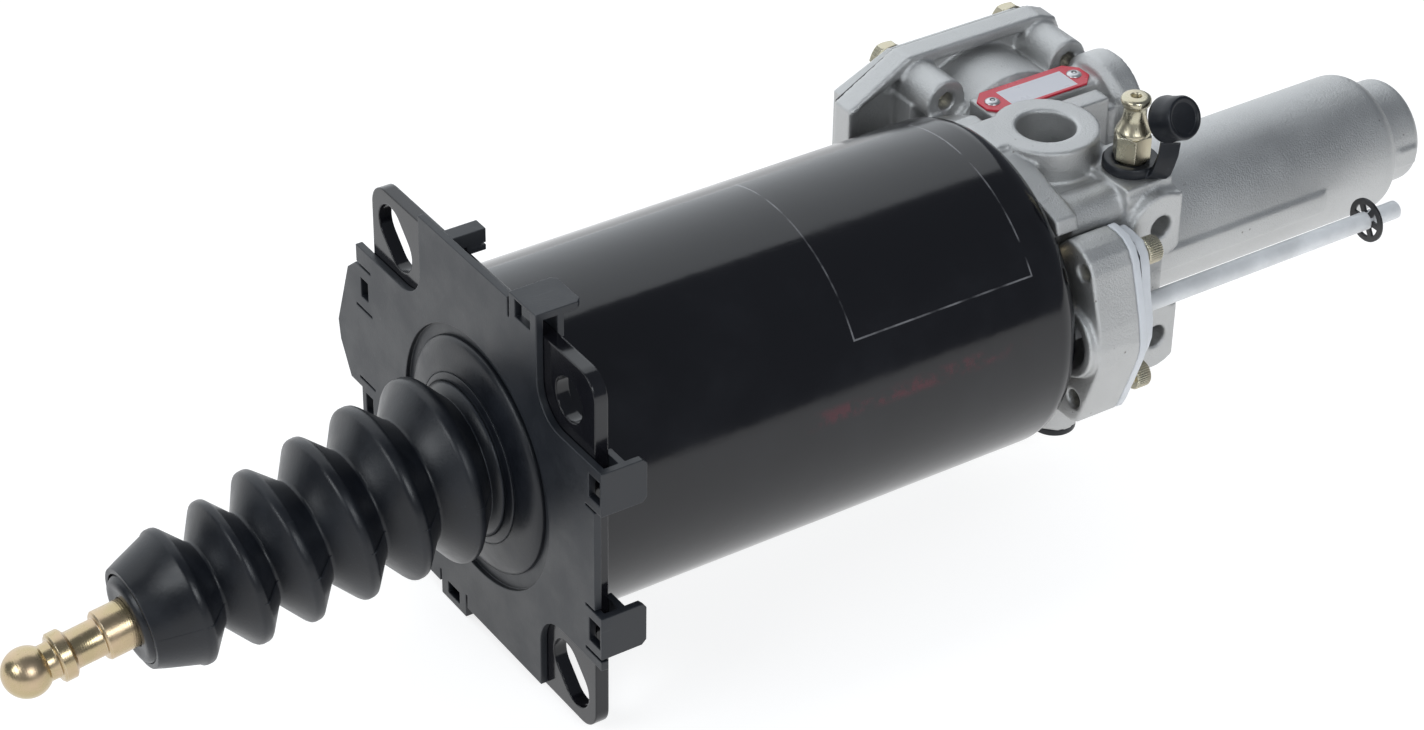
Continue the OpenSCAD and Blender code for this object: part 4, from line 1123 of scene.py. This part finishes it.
class SERVO_OT_bleeder(bpy.types.Operator):
    """Turn the bleed screw and mould its ring, strap and cap"""

    bl_idname = "servo.bleeder"
    bl_label = "Bleed screw and cap"

    def execute(self, context):
        low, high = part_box("bleed_screw")
        x, y = (low.x + high.x) / 2, (low.y + high.y) / 2
        sunk, r = 0.013, 0.00455
        place = Matrix.Translation((x, y, low.z + sunk))
        shank = turned([(0.0, -sunk), (0.0042, -sunk), (r, -0.0122), (r, 0.0040), (0.0, 0.0040)])
        head = moved(hex_head(0.0110, 0.0090, 0.96), Matrix.Translation((0, 0, 0.0036)))
        neck = [(0.0, 0.0124), (0.0053, 0.0125), (0.0058, 0.0129), (0.0058, 0.0135), (0.0055, 0.0140)]
        neck += [(0.0049, 0.0153), (0.0043, 0.0167), (0.0039, 0.0181), (0.0038, 0.0192), (0.0038, 0.0216)]
        neck += [(0.0041, 0.0224), (0.0046, 0.0230), (0.0049, 0.0237), (0.0049, 0.0245), (0.0047, 0.0251)]
        neck += [(0.0042, 0.0255), (0.0034, 0.0257), (0.0019, 0.0258), (0.0015, 0.0252)]
        neck += [(0.0014, 0.0200), (0.0, 0.0200)]
        parts = [moved(part, place) for part in (shank, head, turned(neck, 64))]
        nodes, plating = ["bleed_screw"], pale_zinc()
        clean_piece("bleed_screw_look", join(parts), "bleeder", "zinc", nodes, material=plating)
        self.cap(place)
        return {"FINISHED"}

    def cap(self, place):
        """The ring round the screw, the strap that leaves it and curls up, and the cap at its end."""
        ring = [(0.0050, 0.0), (0.0090, 0.0), (0.0092, 0.0004), (0.0092, 0.0026), (0.0087, 0.0033)]
        ring += [(0.0074, 0.0034), (0.0058, 0.0032), (0.0050, 0.0026), (0.0050, 0.0)]
        parts = [moved(turned(ring, 64), place)]
        path = [(0.5, -7.5, 1.6), (1.8, -10.8, 1.3), (2.4, -12.0, 2.8), (3.0, -12.6, 5.6)]
        path += [(4.3, -12.6, 9.0), (5.5, -11.8, 12.8)]
        path = [Vector(p) * MM for p in path]
        side = Vector((0.83, -0.55, 0)).normalized()
        half_wide, half_thick = 0.0031, 0.0011
        verts, faces = [], []
        for i, p in enumerate(path):
            ahead = (path[min(i + 1, len(path) - 1)] - path[max(i - 1, 0)]).normalized()
            over = ahead.cross(side).normalized()
            for u, w in ((-1, -1), (1, -1), (1, 1), (-1, 1)):
                verts.append(p + side * (half_wide * u) + over * (half_thick * w))
            if i:
                a, b = 4 * (i - 1), 4 * i
                for k in range(4):
                    m = (k + 1) % 4
                    faces.append((a + k, a + m, b + m, b + k))
        faces += [(0, 1, 2, 3), tuple(4 * (len(path) - 1) + k for k in (3, 2, 1, 0))]
        parts.append(moved((verts, faces), place))
        # The cup has a rolled rim, and its closed end points to the near side
        cup = [(0.0, 0.0040), (0.0048, 0.0040), (0.0050, 0.0), (0.0068, -0.0001)]
        cup += [(0.0075, 0.0004), (0.0076, 0.0016)]
        cup += [(0.0073, 0.0028), (0.0071, 0.0060), (0.0071, 0.0084), (0.0067, 0.0093), (0.0060, 0.0095)]
        cup += [(0.0055, 0.0093), (0.0051, 0.0087), (0.0, 0.0083)]
        turn = Vector((0.101, -0.875, 0.473)).to_track_quat("Z", "Y").to_matrix().to_4x4()
        parts.append(moved(turned(cup, 64), place @ Matrix.Translation((0.0057, -0.0079, 0.0192)) @ turn))
        clean_piece("bleed_cap_look", join(parts), "servo", "rubber", ["bleed_cap"], 45)


# The indicator's near outlines as (y, z) in mm: of its housing, and of the window set into it
IND_NEAR = [
    (-40.5, 31.8), (-44.2, 31.0), (-47.6, 28.6), (-50.0, 24.6), (-52.9, 15.6), (-55.7, 6.5), (-57.2, -1.0),
    (-57.2, -5.0), (-56.4, -8.8), (-53.5, -17.6), (-49.8, -28.0), (-48.2, -31.4), (-45.6, -33.0),
]
IND_INSET = [
    (-40.5, 29.6), (-46.0, 28.8), (-49.0, 25.6), (-50.4, 21.2), (-51.8, 12.8), (-54.2, 3.6), (-54.5, -3.0),
    (-53.5, -7.6), (-51.4, -12.6), (-48.4, -20.5), (-46.4, -27.4), (-44.4, -30.4),
]


class SERVO_OT_indicator(bpy.types.Operator):
    """Dress the wear indicator: housing, gasket plate, knurled screws, rod and clip"""

    bl_idname = "servo.indicator"
    bl_label = "Wear indicator"

    def execute(self, context):
        s = sizes()
        # A small casting takes a finer grid than the housing
        voxel = s.cast_voxel * 0.8
        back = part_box("indicator_housing")[1].y / MM
        side = -36.5
        curve = [(back - 3, -24.7), (back, -8.2), (back, 8.2), (back - 3, 24.7)]
        outline = IND_NEAR + [(side, -33), *curve, (side, 31.8)]
        inset = IND_INSET + [(side, -31), *curve, (side, 29.6)]
        flange, seat = 207.0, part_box("indicator_gasket")[1].x / MM
        mesh = carved(
            node_copy("indicator_housing"),
            ("UNION", [prism(outline, flange - 4, flange)]),
            ("INTERSECT", [prism(outline, 180, flange)]),
        )
        cast_copy("indicator_housing", mesh, voxel, 3)
        mesh = carved(
            mesh_from("layers", *prism(outline, flange, flange + 3.1)),
            ("UNION", [prism(inset, flange + 2, seat)]),
        )
        dressed("indicator_gasket", 0.0006, mesh)
        dressed("indicator_clip", 0.0001)
        self.screws(s.knurl)
        self.rod()
        return {"FINISHED"}

    def screws(self, knurl):
        """Two screws with knurled heads and a hexagon socket."""
        low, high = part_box("indicator_screws")
        r, head_h, socket, steps = 0.0045, 0.0055, 0.0050, 144
        # Radius, height, and whether the knurling runs there
        rings = [(0.0010, 0.0, 0), (0.0041, 0.0, 0), (r, 0.0004, 1), (r, 0.0049, 1)]
        rings += [(0.0042, 0.0054, 0), (0.0031, head_h, 0), (0.0029, 0.0053, 0)]
        verts = []
        for radius, level, rough in rings:
            for i in range(steps):
                a = 2 * math.pi * i / steps
                toothed = radius + (0 if i % 4 < 2 else -knurl) * rough
                verts.append(Vector((toothed * math.cos(a), toothed * math.sin(a), level)))
        for level in (0.0053, 0.0026):
            for i in range(steps):
                a = 2 * math.pi * i / steps
                wide = hexagon(socket, a)
                verts.append(Vector((wide * math.cos(a), wide * math.sin(a), level)))
        head = verts, ring_faces(len(verts) // steps, steps, True)
        shank = turned([(0.0, -0.0190), (0.0022, -0.0190), (0.0025, -0.0186), (0.0025, 0.0), (0.0, 0.0)])
        parts = []
        for z in (low.z + r, high.z - r):
            place = Matrix.Translation((high.x - head_h, (low.y + high.y) / 2, z)) @ along_x()
            parts += [moved(head, place), moved(shank, place)]
        nodes, plating = ["indicator_screws"], pale_zinc()
        clean_piece("indicator_screws_look", join(parts), "servo", "zinc", nodes, material=plating)

    def rod(self):
        """The indicator rod, with a shallow groove for its clip."""
        low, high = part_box("indicator_rod")
        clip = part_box("indicator_clip")[0].x
        place = Matrix.Translation(IND_AXIS)
        r, groove = high.z, high.z - 0.0003
        profile = [(0.0, low.x), (r - 0.0004, low.x), (r, low.x + 0.0004), (r, clip - 0.0001)]
        profile += [(groove, clip - 0.0001), (groove, clip + 0.0011), (r, clip + 0.0011)]
        profile += [(r, high.x - 0.0005), (r - 0.0005, high.x), (0.0, high.x)]
        mesh = lathe("indicator_rod", profile, place, 64, closed=False)
        add_piece("indicator_rod_look", mesh, "indicator", "rod_grey", ["indicator_rod"], 35)


class SERVO_OT_inner(bpy.types.Operator):
    """Give every remaining CAD node its finish"""

    bl_idname = "servo.inner"
    bl_label = "Inner pieces"

    def execute(self, context):
        dressed("exhaust_flap", 0.0004)
        for node, obj in frame["nodes"].items():
            if obj.hide_render:
                continue
            material = finish(SLOT_OF[node])
            for slot in obj.material_slots:
                slot.material = material
        return {"FINISHED"}


class SERVO_OT_stage(bpy.types.Operator):
    """Lay the pale floor, the soft lights and the camera"""

    bl_idname = "servo.stage"
    bl_label = "Stage"

    def execute(self, context):
        self.floor()
        self.lights()
        self.camera()
        return {"FINISHED"}

    def floor(self):
        """A wide floor just under the part, with a light of its own so that it stays white."""
        gap, steps, reach = 0.0005, 24, 6.0
        z = CAD_BOX[0][2] - gap
        verts, faces = [], []
        for i in range(steps + 1):
            for j in range(steps + 1):
                verts.append(((i / steps - 0.5) * reach, (j / steps - 0.5) * reach, z))
        for i in range(steps):
            for j in range(steps):
                a = i * (steps + 1) + j
                faces.append((a, a + 1, a + steps + 2, a + steps + 1))
        mesh = mesh_from("floor", verts, faces)
        tree, shader, material = start_material("studio floor")
        c = colours()
        mottle = tree.noise(tree.place(), 3.0, 3.0)
        base = tree.mix(tree.map(mottle, 0.3, 0.7), tuple(c.floor), tuple(v * 0.985 for v in c.floor))
        tree.feed(shader, "Base Color", base)
        shader.inputs["Roughness"].default_value = 0.9
        shader.inputs["Emission Color"].default_value = (1, 1, 1, 1)
        shader.inputs["Emission Strength"].default_value = 0.80
        mesh.materials.append(material)
        floor = bpy.data.objects.new("floor", mesh)
        bpy.context.scene.collection.objects.link(floor)

    def lights(self):
        """A dim sky, a large panel behind the barrel and two small lights."""
        world = bpy.data.worlds.new("studio")
        bpy.context.scene.world = world
        world.use_nodes = True
        back = world.node_tree.nodes["Background"]
        back.inputs["Color"].default_value = (0.74, 0.81, 0.92, 1)
        back.inputs["Strength"].default_value = 0.22
        self.area("back panel", (0.2, 1.5, 1.0), (0.10, 0.0, 0.0), 3.4, 3.0, 40)
        self.area("side light", (-1.3, -0.15, 0.85), (0.0, 0.0, 0.0), 0.8, 0.6, 8)
        self.area("near light", (-0.1, -1.3, 0.9), (0.15, 0.0, 0.0), 0.7, 0.5, 8)

    def area(self, name, where, at, wide, tall, power):
        """A soft rectangular light that faces a point."""
        data = bpy.data.lights.new(name, "AREA")
        data.shape = "RECTANGLE"
        data.size, data.size_y, data.energy = wide, tall, power
        data.color = (0.93, 0.97, 1.0)
        lamp = bpy.data.objects.new(name, data)
        lamp.location = where
        lamp.rotation_euler = (Vector(at) - Vector(where)).to_track_quat("-Z", "Y").to_euler()
        bpy.context.scene.collection.objects.link(lamp)

    def camera(self):
        """The camera at the photograph's angle; its focal length was found in the photograph's pixels."""
        focal_pixels, photo_width, sensor = 3729.26, 1424, 36
        data = bpy.data.cameras.new("camera")
        data.sensor_fit = "HORIZONTAL"
        data.sensor_width = sensor
        data.lens = focal_pixels / photo_width * sensor
        data.clip_start, data.clip_end = 0.05, 20
        camera = bpy.data.objects.new("camera", data)
        right = Vector((0.8347411, -0.5504533, 0.0144352))
        up = Vector((0.3021495, 0.4797991, 0.8237102))
        back = Vector((-0.4603400, -0.6832232, 0.5668272))
        turn = Matrix((right, up, back)).transposed().to_4x4()
        camera.matrix_world = Matrix.Translation((-0.4502968, -0.7907393, 0.6585903)) @ turn
        bpy.context.scene.collection.objects.link(camera)
        bpy.context.scene.camera = camera
        bpy.context.scene.view_settings.view_transform = "Standard"


class SERVO_PT_panel(bpy.types.Panel):
    """Lists the pieces in the order in which they are made"""

    bl_label = "Servo"
    bl_idname = "SERVO_PT_panel"
    bl_space_type = "VIEW_3D"
    bl_region_type = "UI"
    bl_category = "Servo"

    def draw(self, context):
        layout = self.layout
        for operator in OPERATORS:
            layout.operator(operator.bl_idname)
        for group in (context.scene.servo_sizes, context.scene.servo_colours):
            box = layout.box()
            for name in group.__annotations__:
                box.prop(group, name)


OPERATORS = [
    SERVO_OT_stage, SERVO_OT_barrel, SERVO_OT_flange, SERVO_OT_cover, SERVO_OT_boot,
    SERVO_OT_push_rod, SERVO_OT_housing, SERVO_OT_bolts, SERVO_OT_nameplate,
    SERVO_OT_bleeder, SERVO_OT_indicator, SERVO_OT_inner,
]
CLASSES = [ServoSizes, ServoColours, *OPERATORS, SERVO_PT_panel]


def register():
    for cls in CLASSES:
        bpy.utils.register_class(cls)
    bpy.types.Scene.servo_sizes = PointerProperty(type=ServoSizes)
    bpy.types.Scene.servo_colours = PointerProperty(type=ServoColours)


def unregister():
    del bpy.types.Scene.servo_colours
    del bpy.types.Scene.servo_sizes
    for cls in reversed(CLASSES):
        bpy.utils.unregister_class(cls)


def main():
    """Makes every piece in order."""
    register()
    for operator in OPERATORS:
        family, name = operator.bl_idname.split(".")
        getattr(getattr(bpy.ops, family), name)()


if __name__ == "__main__":
    main()
